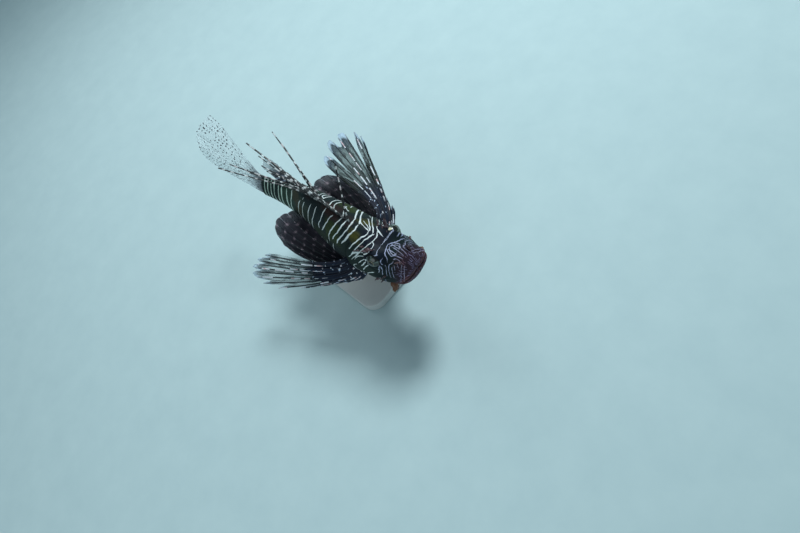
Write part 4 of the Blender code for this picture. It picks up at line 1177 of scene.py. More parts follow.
def pectoralWebMaterial(name, clearness):
    # blue-black web with scattered white dots, and translucent olive-grey vanes; near their tips a painted shadow band
    # lies inside a painted highlight along the rim
    material, work, shader = newMaterial(name, {
        "Specular IOR Level": 0.16, "Coat Weight": 0.03, "Coat Roughness": 0.3})
    ray, t, mm, off = finValues(work)
    wet = work.group(wetGroup, Low=0.48, High=0.70)
    patches = work.noise(work.join(work.math('MULTIPLY', mm, 0.05), work.math('MULTIPLY', ray, 1.3)), 1.0, 3.0)
    low = work.math('MULTIPLY', work.step(ray, 7.2, 8.8), 0.42)
    reached = work.math('SUBTRACT', work.math('ADD', t, work.math('MULTIPLY', patches, 0.30)), low)
    free = work.step(reached, 0.56, 0.74)
    web = work.mix(wet["Mottle"], (.002, .004, .016), (.009, .018, .048))
    vane = work.mix(wet["Mottle"], (.010, .018, .013), (.060, .080, .056))
    dark = work.step(patches, 0.48, 0.60)
    vane = work.mix(work.math('MULTIPLY', dark, 0.55), vane, (.006, .010, .014))
    # painted shadow: a dark blue band inside the rim, where the vane curls over
    tip = work.step(t, 0.80, 0.90)
    vane = work.mix(work.math('MULTIPLY', tip, 0.75), vane, (.030, .050, .085))
    # painted highlight: a pale blue-white rim along the curled edge of each vane
    edge = work.math('ADD', t, work.math('MULTIPLY', patches, 0.05))
    rim = work.step(edge, 0.945, 0.975)
    vane = work.mix(work.math('MULTIPLY', rim, 0.9), vane, (.58, .74, .88))
    ground = work.mix(free, web, vane)
    spread = work.math('MULTIPLY', ray, 1.5)
    dots = work.group(spotGroup, Distance=mm, Ray=spread, Step=9.0, Share=0.17, Soft=0.03, Scatter=1.0)
    aside = work.math('ABSOLUTE', work.math('SUBTRACT', spread, work.math('ROUND', spread)))
    dot = work.math('MULTIPLY', dots["Mask"], work.math('SUBTRACT', 1.0, work.step(aside, 0.16, 0.27)))
    dot = work.math('MULTIPLY', work.math('MULTIPLY', dot, oneOf(work, dots["Number"], spread, 0.7)),
                    work.math('SUBTRACT', 1.0, free))
    ground = work.mix(work.math('MULTIPLY', dot, 0.95), ground, (.62, .72, .92))
    streak = streakBump(work, shader, ray, wet["Mottle"], 0.0002)
    ground = work.mix(work.math('MULTIPLY', work.step(streak, 0.3, 1.0), 0.10), ground, (.06, .08, .10))
    work.put(shader.inputs["Base Color"], ground)
    work.put(shader.inputs["Roughness"], wet["Roughness"])
    clear = work.math('SUBTRACT', clearness, work.math('MULTIPLY', work.math('MAXIMUM', dark, tip), 0.30))
    work.put(shader.inputs["Alpha"], work.math('SUBTRACT', 1.0, work.math('MULTIPLY', free, clear)))
    return material


def pelvicWebMaterial():
    # near black with a purple cast, and arcs of pinkish spots across the rays
    material, work, shader = newMaterial("pelvicWeb", {
        "Specular IOR Level": 0.2, "Coat Weight": 0.04, "Coat Roughness": 0.3})
    ray, t, mm, off = finValues(work)
    wet = work.group(wetGroup, Low=0.38, High=0.60)
    ground = work.mix(wet["Mottle"], (.003, .004, .008), (.020, .016, .026))
    rim = work.step(t, 0.80, 1.0)
    ground = work.mix(work.math('MULTIPLY', rim, 0.5), ground, (.050, .040, .062))
    arcs = work.group(spotGroup, Distance=mm, Ray=ray, Step=11.5, Share=0.20, Soft=0.09, Scatter=0.16)
    onRay = work.math('SUBTRACT', 1.0, work.step(off, 0.06, 0.20))
    faint = work.math('SUBTRACT', 1.0, work.step(off, 0.15, 0.5))
    spot = work.math('MULTIPLY', arcs["Mask"], work.math('MAXIMUM', onRay, work.math('MULTIPLY', faint, 0.20)))
    spot = work.math('MULTIPLY', spot, work.step(t, 0.30, 0.46))
    ground = work.mix(work.math('MULTIPLY', spot, 0.62), ground, (.50, .36, .42))
    streak = streakBump(work, shader, ray, wet["Mottle"], 0.0002)
    ground = work.mix(work.math('MULTIPLY', work.step(streak, 0.2, 1.0), 0.22), ground, (.060, .048, .070))
    work.put(shader.inputs["Base Color"], ground)
    work.put(shader.inputs["Roughness"], wet["Roughness"])
    work.put(shader.inputs["Alpha"], work.math('SUBTRACT', 1.0, work.math('MULTIPLY', rim, 0.22)))
    return material


def pairedRayMaterial(name, step, share, bare, white, pink, strength):
    # rays of the paired fins: dark near the body, with long pale dashes further out on most of them
    material, work, shader = newMaterial(name, {
        "Specular IOR Level": 0.2, "Coat Weight": 0.04, "Coat Roughness": 0.25})
    ray, t, mm, off = finValues(work)
    wet = work.group(wetGroup, Low=0.44, High=0.64)
    long = work.group(spotGroup, Distance=mm, Ray=ray, Step=step, Share=share, Soft=0.03, Scatter=1.0)
    short = work.group(spotGroup, Distance=mm, Ray=ray, Step=12.0, Share=0.13, Soft=0.03, Scatter=1.0)
    outer = work.step(t, 0.34, 0.42)
    longMask = work.math('MULTIPLY', long["Mask"], oneOf(work, long["Number"], ray, 0.62))
    chance = work.math('FRACT', work.math('MULTIPLY', work.math('SINE', work.math(
        'MULTIPLY', work.math('ROUND', ray), 7.31)), 91.7))
    longMask = work.math('MULTIPLY', longMask, work.step(chance, bare, bare + 0.01))
    shortMask = work.math('MULTIPLY', short["Mask"], oneOf(work, short["Number"], ray, 0.4))
    pale = work.mix(outer, shortMask, longMask)
    tint = work.mix(work.step(wet["Mottle"], 0.50, 0.60), white, pink)
    ground = work.mix(wet["Mottle"], (.003, .004, .012), (.018, .018, .032))
    ground = work.mix(work.math('MULTIPLY', work.step(t, 0.45, 0.60), 0.8), ground, (.046, .056, .060))
    colour = work.mix(work.math('MULTIPLY', pale, strength), ground, tint)
    tip = work.step(t, 0.94, 0.99)
    work.put(shader.inputs["Base Color"], work.mix(work.math('MULTIPLY', tip, 0.5), colour, (.62, .72, .80)))
    work.put(shader.inputs["Roughness"], wet["Roughness"])
    return material


def clearFinMaterial(name, dotStep, clearness, stem):
    # tail and soft fins: a clear whitish sheet with rows of small dark dots, barred at the root
    material, work, shader = newMaterial(name, {
        "Specular IOR Level": 0.35, "Coat Weight": 0.1, "Coat Roughness": 0.25})
    ray, t, mm, off = finValues(work)
    wet = work.group(wetGroup, Low=0.30, High=0.50)
    twice = work.math('MULTIPLY', ray, 2.0)
    low = work.step(ray, 3.0, 9.0)
    spots = work.group(spotGroup, Distance=mm, Ray=twice, Step=dotStep,
                       Share=work.math('SUBTRACT', 0.27, work.math('MULTIPLY', low, 0.09)), Soft=0.05, Scatter=1.0)
    aside = work.math('ABSOLUTE', work.math('SUBTRACT', twice, work.math('ROUND', twice)))
    grow = work.math('ADD', work.ramp(t, 0.0, 1.0, 0.40, 0.24), work.math('MULTIPLY', low, 0.10))
    round_ = work.math('SUBTRACT', 1.0, work.step(aside, work.math('MULTIPLY', grow, 0.6), grow))
    here = work.noise(work.join(work.math('MULTIPLY', spots["Number"], 7.3), work.math('ROUND', twice)), 1.7, 1.0)
    spot = work.math('MULTIPLY', work.math('MULTIPLY', spots["Mask"], round_), work.step(here, work.ramp(t, 0.1, 0.9, 0.52, 0.43), work.ramp(t, 0.1, 0.9, 0.58, 0.49)))
    base = work.math('SUBTRACT', 1.0, work.step(work.math('ADD', t, work.math('MULTIPLY', wet["Mottle"], 0.1)),
                                                stem * 0.6, stem + 0.05))
    milky = work.mix(wet["Mottle"], (.62, .72, .76), (.80, .88, .92))
    inner = work.math('SUBTRACT', 1.0, work.step(work.math('ADD', t, work.math('MULTIPLY', wet["Mottle"], 0.2)),
                                                 stem, stem + 0.45))
    milky = work.mix(work.math('MULTIPLY', inner, 0.92), milky, (.026, .022, .055))
    colour = work.mix(spot, milky, (.012, .014, .026))
    bars = work.group(spotGroup, Distance=mm, Ray=ray, Step=5.2, Share=0.66, Soft=0.10, Scatter=1.0)
    stemColour = work.mix(bars["Mask"], (.40, .44, .54), (.010, .010, .024))
    colour = work.mix(base, colour, stemColour)
    work.put(shader.inputs["Base Color"], colour)
    work.put(shader.inputs["Roughness"], wet["Roughness"])
    solid = work.math('MAXIMUM', work.math('MAXIMUM', spot, base), work.math('MULTIPLY', work.value("rod"), 0.03))
    solid = work.math('MAXIMUM', solid, work.math('MULTIPLY', inner, 0.70))
    work.put(shader.inputs["Alpha"], work.ramp(solid, 0.0, 1.0, clearness, 1.0))
    return material


def spineMaterial():
    # dorsal spines: close black and white bands at the root that draw out towards the tip
    material, work, shader = newMaterial("dorsalSpines", {
        "Specular IOR Level": 0.45, "Coat Weight": 0.2, "Coat Roughness": 0.2})
    ray, t, mm, off = finValues(work)
    wet = work.group(wetGroup, Low=0.30, High=0.50)
    shrunk = work.math('MULTIPLY', work.math('SUBTRACT', 1.0, work.math('POWER', 2.718, work.math(
        'MULTIPLY', mm, -1 / 150.0))), 150.0)
    bands = work.group(spotGroup, Distance=shrunk, Ray=work.math('ROUND', ray), Step=6.6, Share=0.64, Soft=0.03,
                       Scatter=1.0)
    pale = work.mix(work.step(wet["Mottle"], 0.40, 0.62), (.66, .70, .70), (.42, .34, .34))
    low = work.math('SUBTRACT', 1.0, work.step(mm, 6.0, 22.0))
    pale = work.mix(work.math('MULTIPLY', low, 0.6), pale, (.20, .21, .21))
    dark = work.mix(wet["Mottle"], (.002, .002, .003), (.010, .008, .009))
    root = work.math('SUBTRACT', 1.0, work.step(mm, 1.0, 3.0))
    black = work.math('MAXIMUM', bands["Mask"], work.math('MULTIPLY', root, 0.8))
    # the vane behind each spine is mostly dark, with a pale streak where the spine is pale
    vane = work.step(work.value("across"), 0.20, 0.45)
    black = work.math('MAXIMUM', black, work.math('MULTIPLY', vane, 0.90))
    work.put(shader.inputs["Base Color"], work.mix(black, pale, dark))
    work.put(shader.inputs["Roughness"], wet["Roughness"])
    thin = work.math('MULTIPLY', work.step(t, 0.20, 0.34), work.math('SUBTRACT', 1.0, bands["Mask"]))
    thin = work.math('MULTIPLY', thin, work.step(work.value("across"), 0.05, 0.2))
    work.put(shader.inputs["Alpha"], work.math('SUBTRACT', 1.0, work.math('MULTIPLY', thin, 0.92)))
    return material


def level(j, towards, t):
    return 0 * t


def makeFins():
    clearTail = clearFinMaterial("tailFinWeb", 4.6, 0.16, 0.10)
    clearSoft = clearFinMaterial("softFinWeb", 4.0, 0.34, 0.52)
    pelvicRods = pairedRayMaterial("pelvicRays", 11.5, 0.14, -0.1, (.50, .40, .46), (.46, .30, .34), 0.7)
    pectoralRods = pairedRayMaterial("pectoralRays", 17.0, 0.62, 0.34, (.84, .86, .92), (.70, .46, .48), 0.97)
    pelvicWeb, spines = pelvicWebMaterial(), spineMaterial()
    pectoralWeb = {"left": pectoralWebMaterial("pectoralWebLeft", 0.60),
                   "right": pectoralWebMaterial("pectoralWebRight", 0.88)}
    rows = 72
    tail = {"columns": 4, "rods": 99, "notch": 0.012, "lobe": 0.0, "web": lambda j: 2.0, "loose": 0.1, "thick": 0.00022,
            "sag": lambda p, t: 0.0005 * np.sin(7 * t + 1.3 * p), "curl": level,
            "vane": lambda j, k, t: 0.0003 + 0 * t, "rod": lambda j, t: 0.00062 - 0.00048 * t ** 0.7,
            "joints": 0.08, "jointStep": 2.4}
    makeFin("tail_fin", caudalRays(rows), tail, clearTail, clearTail, "tail_fin_skin", "fin_caudal")
    soft = dict(tail, notch=0.02, rod=lambda j, t: 0.00062 - 0.00040 * t ** 0.8)
    makeFin("soft_dorsal_fin", medianRays(spread(.700, .893, 11), 1,
            curveThrough((0, .12), (.25, .165), (.55, .175), (.8, .150), (1, .11)),
            curveThrough((0, 66), (.5, 72), (1, 77)), 8, 48), soft, clearSoft, clearSoft, "tail_fin_skin",
            "fin_dorsal_soft")
    makeFin("anal_fin", medianRays(spread(.712, .880, 10), -1,
            curveThrough((0, .11), (.3, .185), (.6, .205), (.85, .18), (1, .13)),
            curveThrough((0, 42), (.5, 54), (1, 66)), 26, 48), soft, clearSoft, clearSoft, "tail_fin_skin",
            "fin_anal")
    pelvic = dict(tail, columns=8, rods=6, notch=0.0, lobe=0.012, thick=0.0004,
                  sag=lambda p, t: 0.0009 * np.sin(5 * t + 2 * p), rod=lambda j, t: 0.00105 - 0.00078 * t ** 0.8)
    for side, name, label in ((1, "pelvicLeft", "left"), (-1, "pelvicRight", "right")):
        makeFin("pelvic_fin_" + label, pelvicRays(side, pairedTips[name], 64), pelvic, pelvicWeb, pelvicRods,
                "fin_skin", "fin_pelvic_" + label)

    # the long upper rays stand in pairs that share one broad vane
    webReach = {"left": (.97, .40, .96, .84, .96, .52, .56, .50), "right": (.50, .95, .50, .95, .50, .95, .50, .46)}

    def vaneWide(j, k, t):
        broad = 0.0023 if j < 6 else 0.0029 if j < 8 else 0.0012
        wave = 1 + 0.12 * np.sin(17 * t + 2.3 * j + k) + 0.04 * np.sin(61 * t + j)
        swell = ease(t, 0.30, 0.78) * (0.55 + 0.45 * ease(t, 0.60, 0.86))
        return (0.0009 + broad * swell * wave) * (1 - 0.9 * t ** 14) + 0.0001

    pectoral = dict(tail, columns=6, notch=-0.01, lobe=0.05, loose=0.10, thick=0.0003, vane=vaneWide,
                    sag=lambda p, t: 0.0014 * np.sin(6 * t + 1.9 * p), rod=lambda j, t: 0.00088 - 0.00030 * t ** 0.7)
    for side, name, label in ((1, "pectoralLeft", "left"), (-1, "pectoralRight", "right")):
        curled = 1.5 if side > 0 else 0.7
        reaches = webReach[label]
        plan = dict(pectoral, curl=lambda j, k, t: k * curled * np.sin(2.2 * t + 1.3 * j) * ease(t, 0.55, 0.97),
                    web=lambda j: reaches[j] if j < 8 else (j - 3) / 11 - 0.02)
        makeFin("pectoral_fin_" + label, pectoralRays(side, pairedTips[name], 96), plan,
                pectoralWeb[label], pectoralRods, "fin_skin", "fin_pectoral_" + label)
    spiny = dict(tail, columns=3, notch=0.0, web=lambda j: 0.10, loose=0.10, thick=0.00035,
                 vane=lambda j, k, t: np.where(k > 0, 0.0020 * (1 - 0.60 * t), 0.0006 * (1 - .5 * t)),
                 curl=lambda j, k, t: 0.3 * k * np.sin(9 * t + j), rod=lambda j, t: 0.00084 - 0.00034 * t,
                 joints=0.0)
    makeFin("spiny_dorsal_fin", spineRays(72), spiny, spines, spines, "body_skin", "fin_dorsal_spiny")


makeFins()
print("fins made")


# eyes: a ball with a patterned iris and a dark pupil that bulges

eyePlan = {"radius": 0.0076, "rings": 72, "turns": 96, "pupil": 19.0, "iris": 58.0, "bulge": 0.00035}


def eyeMaterial():
    material, work, shader = newMaterial("eyeball", {
        "Roughness": 0.18, "Coat Weight": 0.6, "Coat Roughness": 0.03, "Specular IOR Level": 0.4})
    ring, turn = work.value("ring"), work.value("turn")
    place = work.place()
    fine = work.noise(place, 900.0, 3.0, 0.6)
    cloud = work.noise(place, 260.0, 3.0, 0.6)
    wobble = work.math('MULTIPLY', work.math('SUBTRACT', cloud, 0.5), 9.0)
    ringed = work.math('ADD', ring, wobble)
    iris = work.mix(fine, (.006, .009, .009), (.032, .036, .022))
    # dark bands run out from the pupil, as the lines of the head do
    rays = work.math('SINE', work.math('ADD', work.math('MULTIPLY', turn, 5.0), work.math('MULTIPLY', cloud, 5.0)))
    bands = work.step(rays, 0.1, 0.6)
    iris = work.mix(work.math('MULTIPLY', bands, 0.85), iris, (.010, .010, .008))
    paleBands = work.step(work.math('MULTIPLY', rays, -1.0), 0.78, 0.95)
    iris = work.mix(work.math('MULTIPLY', paleBands, 0.4), iris, (.30, .38, .36))
    rim = work.math('SUBTRACT', work.step(ring, 17.0, 19.5), work.step(ring, 20.5, 23.5))
    iris = work.mix(work.math('MULTIPLY', rim, 0.8), iris, (.20, .17, .08))
    pupil = work.math('SUBTRACT', 1.0, work.step(ring, 17.5, 18.8))
    colour = work.mix(pupil, iris, (.002, .003, .004))
    outer = work.step(ringed, 54.0, 60.0)
    colour = work.mix(outer, colour, (.012, .010, .008))
    # a pale gold patch on the upper inner side of the iris, partly a painted highlight
    paleAndHighlightMask = work.step(work.math('ADD', work.value("paleAndHighlight"), work.math('MULTIPLY', wobble, 0.03)), 0.35, 0.60)
    gold = work.mix(fine, (.60, .52, .26), (.86, .88, .80))
    colour = work.mix(work.math('MULTIPLY', paleAndHighlightMask, work.math('SUBTRACT', 1.0, pupil)), colour, gold)
    work.put(shader.inputs["Base Color"], colour)
    return material


def makeEye(side, material):
    plan = eyePlan
    middle, axis = eyeMiddle(side), eyeAxis(side)
    across = unit(np.cross(axis, (0, 0, 1.0)))
    up = np.cross(across, axis)
    ring = 180.0 * (np.arange(1, plan["rings"]) / plan["rings"]) ** 1.25
    turn = 2 * np.pi * np.arange(plan["turns"]) / plan["turns"]
    ringGrid, turnGrid = np.meshgrid(ring, turn, indexing="ij")
    a = np.radians(ringGrid)
    # the pupil bulges in a low dome with a shallow groove round it, whose gloss the coat gives
    radius = plan["radius"] + plan["bulge"] * bell(ringGrid, 0, 20) - 0.00012 * bell(ringGrid, 21, 3)
    radius = np.minimum(radius, plan["radius"] + plan["bulge"])
    way = np.cos(a)[..., None] * axis + (np.sin(a) * np.cos(turnGrid))[..., None] * across \
        + (np.sin(a) * np.sin(turnGrid))[..., None] * up
    points = (middle + way * radius[..., None]).reshape(-1, 3)
    front = middle + axis * (plan["radius"] + plan["bulge"])
    rear = middle - axis * plan["radius"]
    points = np.concatenate([points, front[None], rear[None]])
    count = plan["turns"]
    faces = gridFaces(len(ring), count, closed=True).tolist()
    last = (len(ring) - 1) * count
    for c in range(count):
        d = (c + 1) % count
        faces.append([len(points) - 2, d, c])
        faces.append([len(points) - 1, last + c, last + d])
    inner = unit(axis * 0.55 + np.array((-0.20, -0.80 * side, 0.10)))
    facing = np.clip((points - middle) @ inner / plan["radius"], -1, 1)
    # painted highlight: the patch is strong on the left eye and faint on the right
    paleAndHighlight = (0.9 if side > 0 else 0.30) * bell(np.degrees(np.arccos(facing)), 0, 24)
    values = {"paleAndHighlight": paleAndHighlight, "ring": np.concatenate([ringGrid.ravel(), [0, 180]]),
              "turn": np.concatenate([turnGrid.ravel(), [0, 0]])}
    mesh = meshFrom("eye_" + ("left" if side > 0 else "right"), points, faces, values)
    mendMesh(mesh, 0.0000001)
    eye = addPiece("eyeball_" + ("left" if side > 0 else "right"), mesh, material)
    finish(eye, "eye", "eye_left" if side > 0 else "eye_right")
    return eye


glossy = eyeMaterial()
for side in (1, -1):
    makeEye(side, glossy)
print("eyes made")


# flaps of skin on the head, its small spines, and papillae along the jaws

flapPlan = (
    # name, place along, degrees, length, lean back, width, frills
    ("brow", .160, 30, .0125, 28, .0044, 3.0), ("nostril", .058, 30, .0060, 50, .0026, 2.0),
    ("mouth", .116, 124, .0085, 14, .0100, 4.0), ("cheek", .150, 146, .0095, 8, .0050, 3.0),
)
headSpines = (
    # place along, degrees, height
    (.118, 36, .0042), (.176, 30, .0046), (.205, 34, .0040), (.120, 84, .0030),
    (.178, 104, .0040), (.180, 122, .0042), (.172, 138, .0040), (.140, 92, .0024), (.160, 98, .0028),
    (.150, 26, .0026), (.225, 46, .0030), (.192, 52, .0026), (.246, 52, .0026),
)


def flapMaterial():
    material, work, shader = newMaterial("skinFlaps", {
        "Specular IOR Level": 0.4, "Coat Weight": 0.15, "Coat Roughness": 0.3})
    wet = work.group(wetGroup, Low=0.38, High=0.62)
    t, kind = work.value("along"), work.value("kind")
    place = work.place()
    blotch = work.noise(place, 420.0, 3.0, 0.6)
    orange = work.mix(blotch, (.060, .020, .009), (.230, .095, .040))
    orange = work.mix(work.math('MULTIPLY', work.step(blotch, 0.60, 0.70), 0.6), orange, (.34, .25, .17))
    maroon = work.mix(blotch, (.016, .008, .011), (.110, .042, .045))
    colour = work.mix(kind, maroon, orange)
    bands = work.step(work.math('SINE', work.math('MULTIPLY', t, 16.0)), 0.5, 0.9)
    banded = work.math('MULTIPLY', bands, work.math('SUBTRACT', 1.0, kind))
    colour = work.mix(work.math('MULTIPLY', banded, 0.35), colour, (.34, .28, .32))
    work.put(shader.inputs["Base Color"], colour)
    work.put(shader.inputs["Roughness"], wet["Roughness"])
    bump = work.add('ShaderNodeBump', None, Strength=0.5, Distance=0.0003, Height=blotch)
    work.put(shader.inputs["Normal"], bump.outputs[0])
    return material


def skinFrame(s, angle):
    foot, out = skinPoint(s, angle), skinNormal(s, angle)
    rearward = unit(skinPoint(s + 0.03, angle) - foot)
    return foot, out, rearward


def makeFlaps(material):
    allPoints, allFaces, alongValues, kinds = [], [], [], []
    start = 0
    rows, columns = 22, 12
    for side in (1, -1):
        for name, s, degrees, long, lean, width, frills in flapPlan:
            foot, out, rearward = skinFrame(s, side * math.radians(degrees))
            lift = float(headRelief(np.array(s), np.array(float(degrees))))
            tilt = math.radians(lean)
            way = unit(out * math.cos(tilt) + rearward * math.sin(tilt))
            across = unit(np.cross(way, np.cross(out, rearward)))
            face = np.cross(way, across)
            t = np.linspace(0, 1, rows)[:, None]
            c = np.linspace(-1, 1, columns)[None, :]
            wide = width * (0.35 + 0.65 * np.sin(np.pi * np.minimum(t * 0.78 + 0.08, 1.0)))
            wide = wide * (1.0 + 0.12 * np.sin(7.0 * t + np.sign(c)))
            fringe = 0.0011 * np.sin(frills * np.pi * c + 2.0) * ease(t, 0.45, 1.0)
            length = (long + 0.002) * t - 0.002
            curve = length - 0.10 * long * np.abs(c) ** 2 * t - 0.30 * long * np.abs(c) ** 3 * ease(t, .6, 1) + fringe * t
            wave = 0.0006 * np.sin(frills * 2.2 * c + 5 * t) * t + 0.0008 * np.sin(4.5 * t)
            grid = (foot + out * lift * 0.6)[None, None] + way * curve[..., None] \
                + across * (wide * 0.5 * c)[..., None] + face * wave[..., None]
            allPoints.append(grid.reshape(-1, 3))
            allFaces.append(gridFaces(rows, columns) + start)
            alongValues.append(np.broadcast_to(t, (rows, columns)).ravel())
            kinds.append(np.full(rows * columns, 1.0 if name == "mouth" else 0.35 if name == "cheek" else 0.0))
            start += rows * columns
    mesh = meshFrom("flaps", np.concatenate(allPoints), np.concatenate(allFaces),
                    {"along": np.concatenate(alongValues), "kind": np.concatenate(kinds)})
    flaps = addPiece("flaps", mesh, material)
    solid = flaps.modifiers.new("Thickness", 'SOLIDIFY')
    solid.thickness = 0.0007
    solid.offset = 0.0
    smoother = flaps.modifiers.new("Rounding", 'SUBSURF')
    smoother.levels = 1
    smoother.render_levels = 1
    settle(flaps)
    lines, radii, alongRods, kindRods = [], [], [], []
    for side in (1, -1):
        for s, degrees, height in headSpines:
            foot, out, rearward = skinFrame(s, side * math.radians(degrees))
            lift = float(headRelief(np.array(s), np.array(float(degrees))))
            t = np.linspace(0, 1, 9)
            root = foot + out * (lift * 0.8 - 0.0012)
            tip = foot + out * (height * 0.8 + lift) + rearward * height * 0.7
            lines.append(root + (tip - root) * t[:, None] + out * (0.0005 * np.sin(np.pi * t))[:, None])
            radii.append(0.00105 * (1 - t) ** 0.8 + 0.00012)
            alongRods.append(t)
            kindRods.append(0 * t)
    spines = makeRods("spinelets", lines, radii, {"along": alongRods, "kind": kindRods}, material, 10)
    whole = joinPieces("head_flaps", [flaps, spines])
    whole.data.shade_smooth()
    return finish(whole, "head_skin")


makeFlaps(flapMaterial())
print("flaps made")


# small papillae stand on the head, scattered by a geometry nodes tree

papillaePlan = {"density": 90000.0, "size": 0.00085, "seed": 7, "apart": 0.0022}


def papillaeTree():
    tree = bpy.data.node_groups.new("headPapillae", 'GeometryNodeTree')
    face = tree.interface
    sockets = {}
    face.new_socket("Geometry", in_out='INPUT', socket_type='NodeSocketGeometry')
    for key, kind in (("Density", 'NodeSocketFloat'), ("Apart", 'NodeSocketFloat'), ("Size", 'NodeSocketFloat'),
                      ("Seed", 'NodeSocketInt'), ("Finish", 'NodeSocketMaterial')):
        sockets[key] = face.new_socket(key, in_out='INPUT', socket_type=kind).identifier
    face.new_socket("Geometry", in_out='OUTPUT', socket_type='NodeSocketGeometry')
    work = Nodes(tree)
    start = tree.nodes.new('NodeGroupInput').outputs
    end = tree.nodes.new('NodeGroupOutput').inputs
    along = work.add('GeometryNodeInputNamedAttribute', {"data_type": 'FLOAT'}, Name="along").outputs[0]
    open = work.add('GeometryNodeInputNamedAttribute', {"data_type": 'FLOAT'}, Name="half").outputs[0]
    onHead = work.math('MULTIPLY', work.band(along, 0.055, 0.27, 0.02), work.math('LESS_THAN', open, 0.05))
    spots = work.add('GeometryNodeDistributePointsOnFaces', {"distribute_method": 'POISSON'},
                     Mesh=start["Geometry"], Seed=start["Seed"])
    spots.inputs["Distance Min"].default_value = 0.002
    work.put(spots.inputs["Distance Min"], start["Apart"])
    work.put(spots.inputs["Density Max"], start["Density"])
    work.put(spots.inputs["Density Factor"], onHead)
    cone = work.add('GeometryNodeMeshCone', None, Vertices=7)
    cone.inputs["Radius Top"].default_value = 0.12
    cone.inputs["Radius Bottom"].default_value = 0.42
    cone.inputs["Depth"].default_value = 1.6
    size = work.add('FunctionNodeRandomValue', {"data_type": 'FLOAT'}, Seed=start["Seed"])
    size.inputs[2].default_value = 0.35
    size.inputs[3].default_value = 1.0
    scaled = work.math('MULTIPLY', size.outputs[1], start["Size"])
    placed = work.add('GeometryNodeInstanceOnPoints', None, Points=spots.outputs["Points"], Instance=cone.outputs[0],
                      Rotation=spots.outputs["Rotation"], Scale=scaled)
    real = work.add('GeometryNodeRealizeInstances', None, Geometry=placed.outputs[0])
    finished = work.add('GeometryNodeSetMaterial', None, Geometry=real.outputs[0], Material=start["Finish"])
    work.put(end[0], finished.outputs[0])
    return tree, sockets


def makePapillae(material):
    plan = papillaePlan
    tree, sockets = papillaeTree()
    papillae = bpy.data.objects.new("head_papillae", skin.data.copy())
    bpy.context.scene.collection.objects.link(papillae)
    change = papillae.modifiers.new("Papillae", 'NODES')
    change.node_group = tree
    for key, value in (("Density", plan["density"]), ("Apart", plan["apart"]), ("Size", plan["size"]),
                       ("Seed", plan["seed"]), ("Finish", material)):
        change[sockets[key]] = value
    settle(papillae)
    papillae.data.shade_smooth()
    return finish(papillae, "head_skin")


def papillaeMaterial():
    material, work, shader = newMaterial("papillae", {"Specular IOR Level": 0.3})
    wet = work.group(wetGroup, Low=0.45, High=0.70)
    tint = work.noise(work.place(), 300.0, 2.0, 0.6)
    work.put(shader.inputs["Base Color"], work.mix(work.step(tint, 0.45, 0.62), (.010, .010, .014), (.120, .100, .120)))
    work.put(shader.inputs["Roughness"], wet["Roughness"])
    return material


makePapillae(papillaeMaterial())
print("papillae made")

# the stand: satin paint on the base, brushed steel rods with a collar at each foot

standPlan = {"bevel": 0.0012, "collar": 0.0046, "collarHigh": 0.0032, "turns": 48}


def paintMaterial():
    material, work, shader = newMaterial("standPaint", {
        "Specular IOR Level": 0.45, "Coat Weight": 0.15, "Coat Roughness": 0.35})
    place = work.place()
    peel = work.noise(place, 700.0, 2.0, 0.5)
    dust = work.noise(place, 40.0, 4.0, 0.62)
    high = work.split(place)[2]
    # painted shade: the lowest 2.2 mm of the base's paint is darker, round its foot; wear shows more there too
    foot = work.math('SUBTRACT', 1.0, work.step(high, 0.0, 0.0022))
    worn = work.step(work.math('ADD', work.noise(place, 260.0, 3.0, 0.7), work.math('MULTIPLY', foot, 0.12)), 0.66, 0.74)
    colour = work.mix(dust, (.50, .52, .51), (.62, .635, .62))
    # painted shade round the foot of the base
    colour = work.mix(work.math('MULTIPLY', foot, 0.35), colour, (.22, .22, .21))
    colour = work.mix(work.math('MULTIPLY', worn, 0.30), colour, (.36, .36, .34))
    work.put(shader.inputs["Base Color"], colour)
    work.put(shader.inputs["Roughness"], work.ramp(dust, 0.3, 0.7, 0.42, 0.60))
    bump = work.add('ShaderNodeBump', None, Strength=0.25, Distance=0.0001, Height=peel)
    work.put(shader.inputs["Normal"], bump.outputs[0])
    return material


def steelMaterial():
    material, work, shader = newMaterial("standSteel", {"Metallic": 1.0, "Specular IOR Level": 0.5})
    place = work.place()
    x, y, z = work.split(place)[0], work.split(place)[1], work.split(place)[2]
    brushed = work.noise(work.join(work.math('MULTIPLY', x, 40.0), work.math('MULTIPLY', y, 40.0),
                                   work.math('MULTIPLY', z, 3200.0)), 1.0, 3.0, 0.6)
    haze = work.noise(place, 90.0, 3.0, 0.6)
    colour = work.mix(brushed, (.40, .41, .42), (.66, .67, .68))
    work.put(shader.inputs["Base Color"], work.mix(work.math('MULTIPLY', haze, 0.25), colour, (.30, .29, .28)))
    work.put(shader.inputs["Roughness"], work.ramp(brushed, 0.25, 0.75, 0.22, 0.42))
    bump = work.add('ShaderNodeBump', None, Strength=0.2, Distance=0.00005, Height=brushed)
    work.put(shader.inputs["Normal"], bump.outputs[0])
    return material


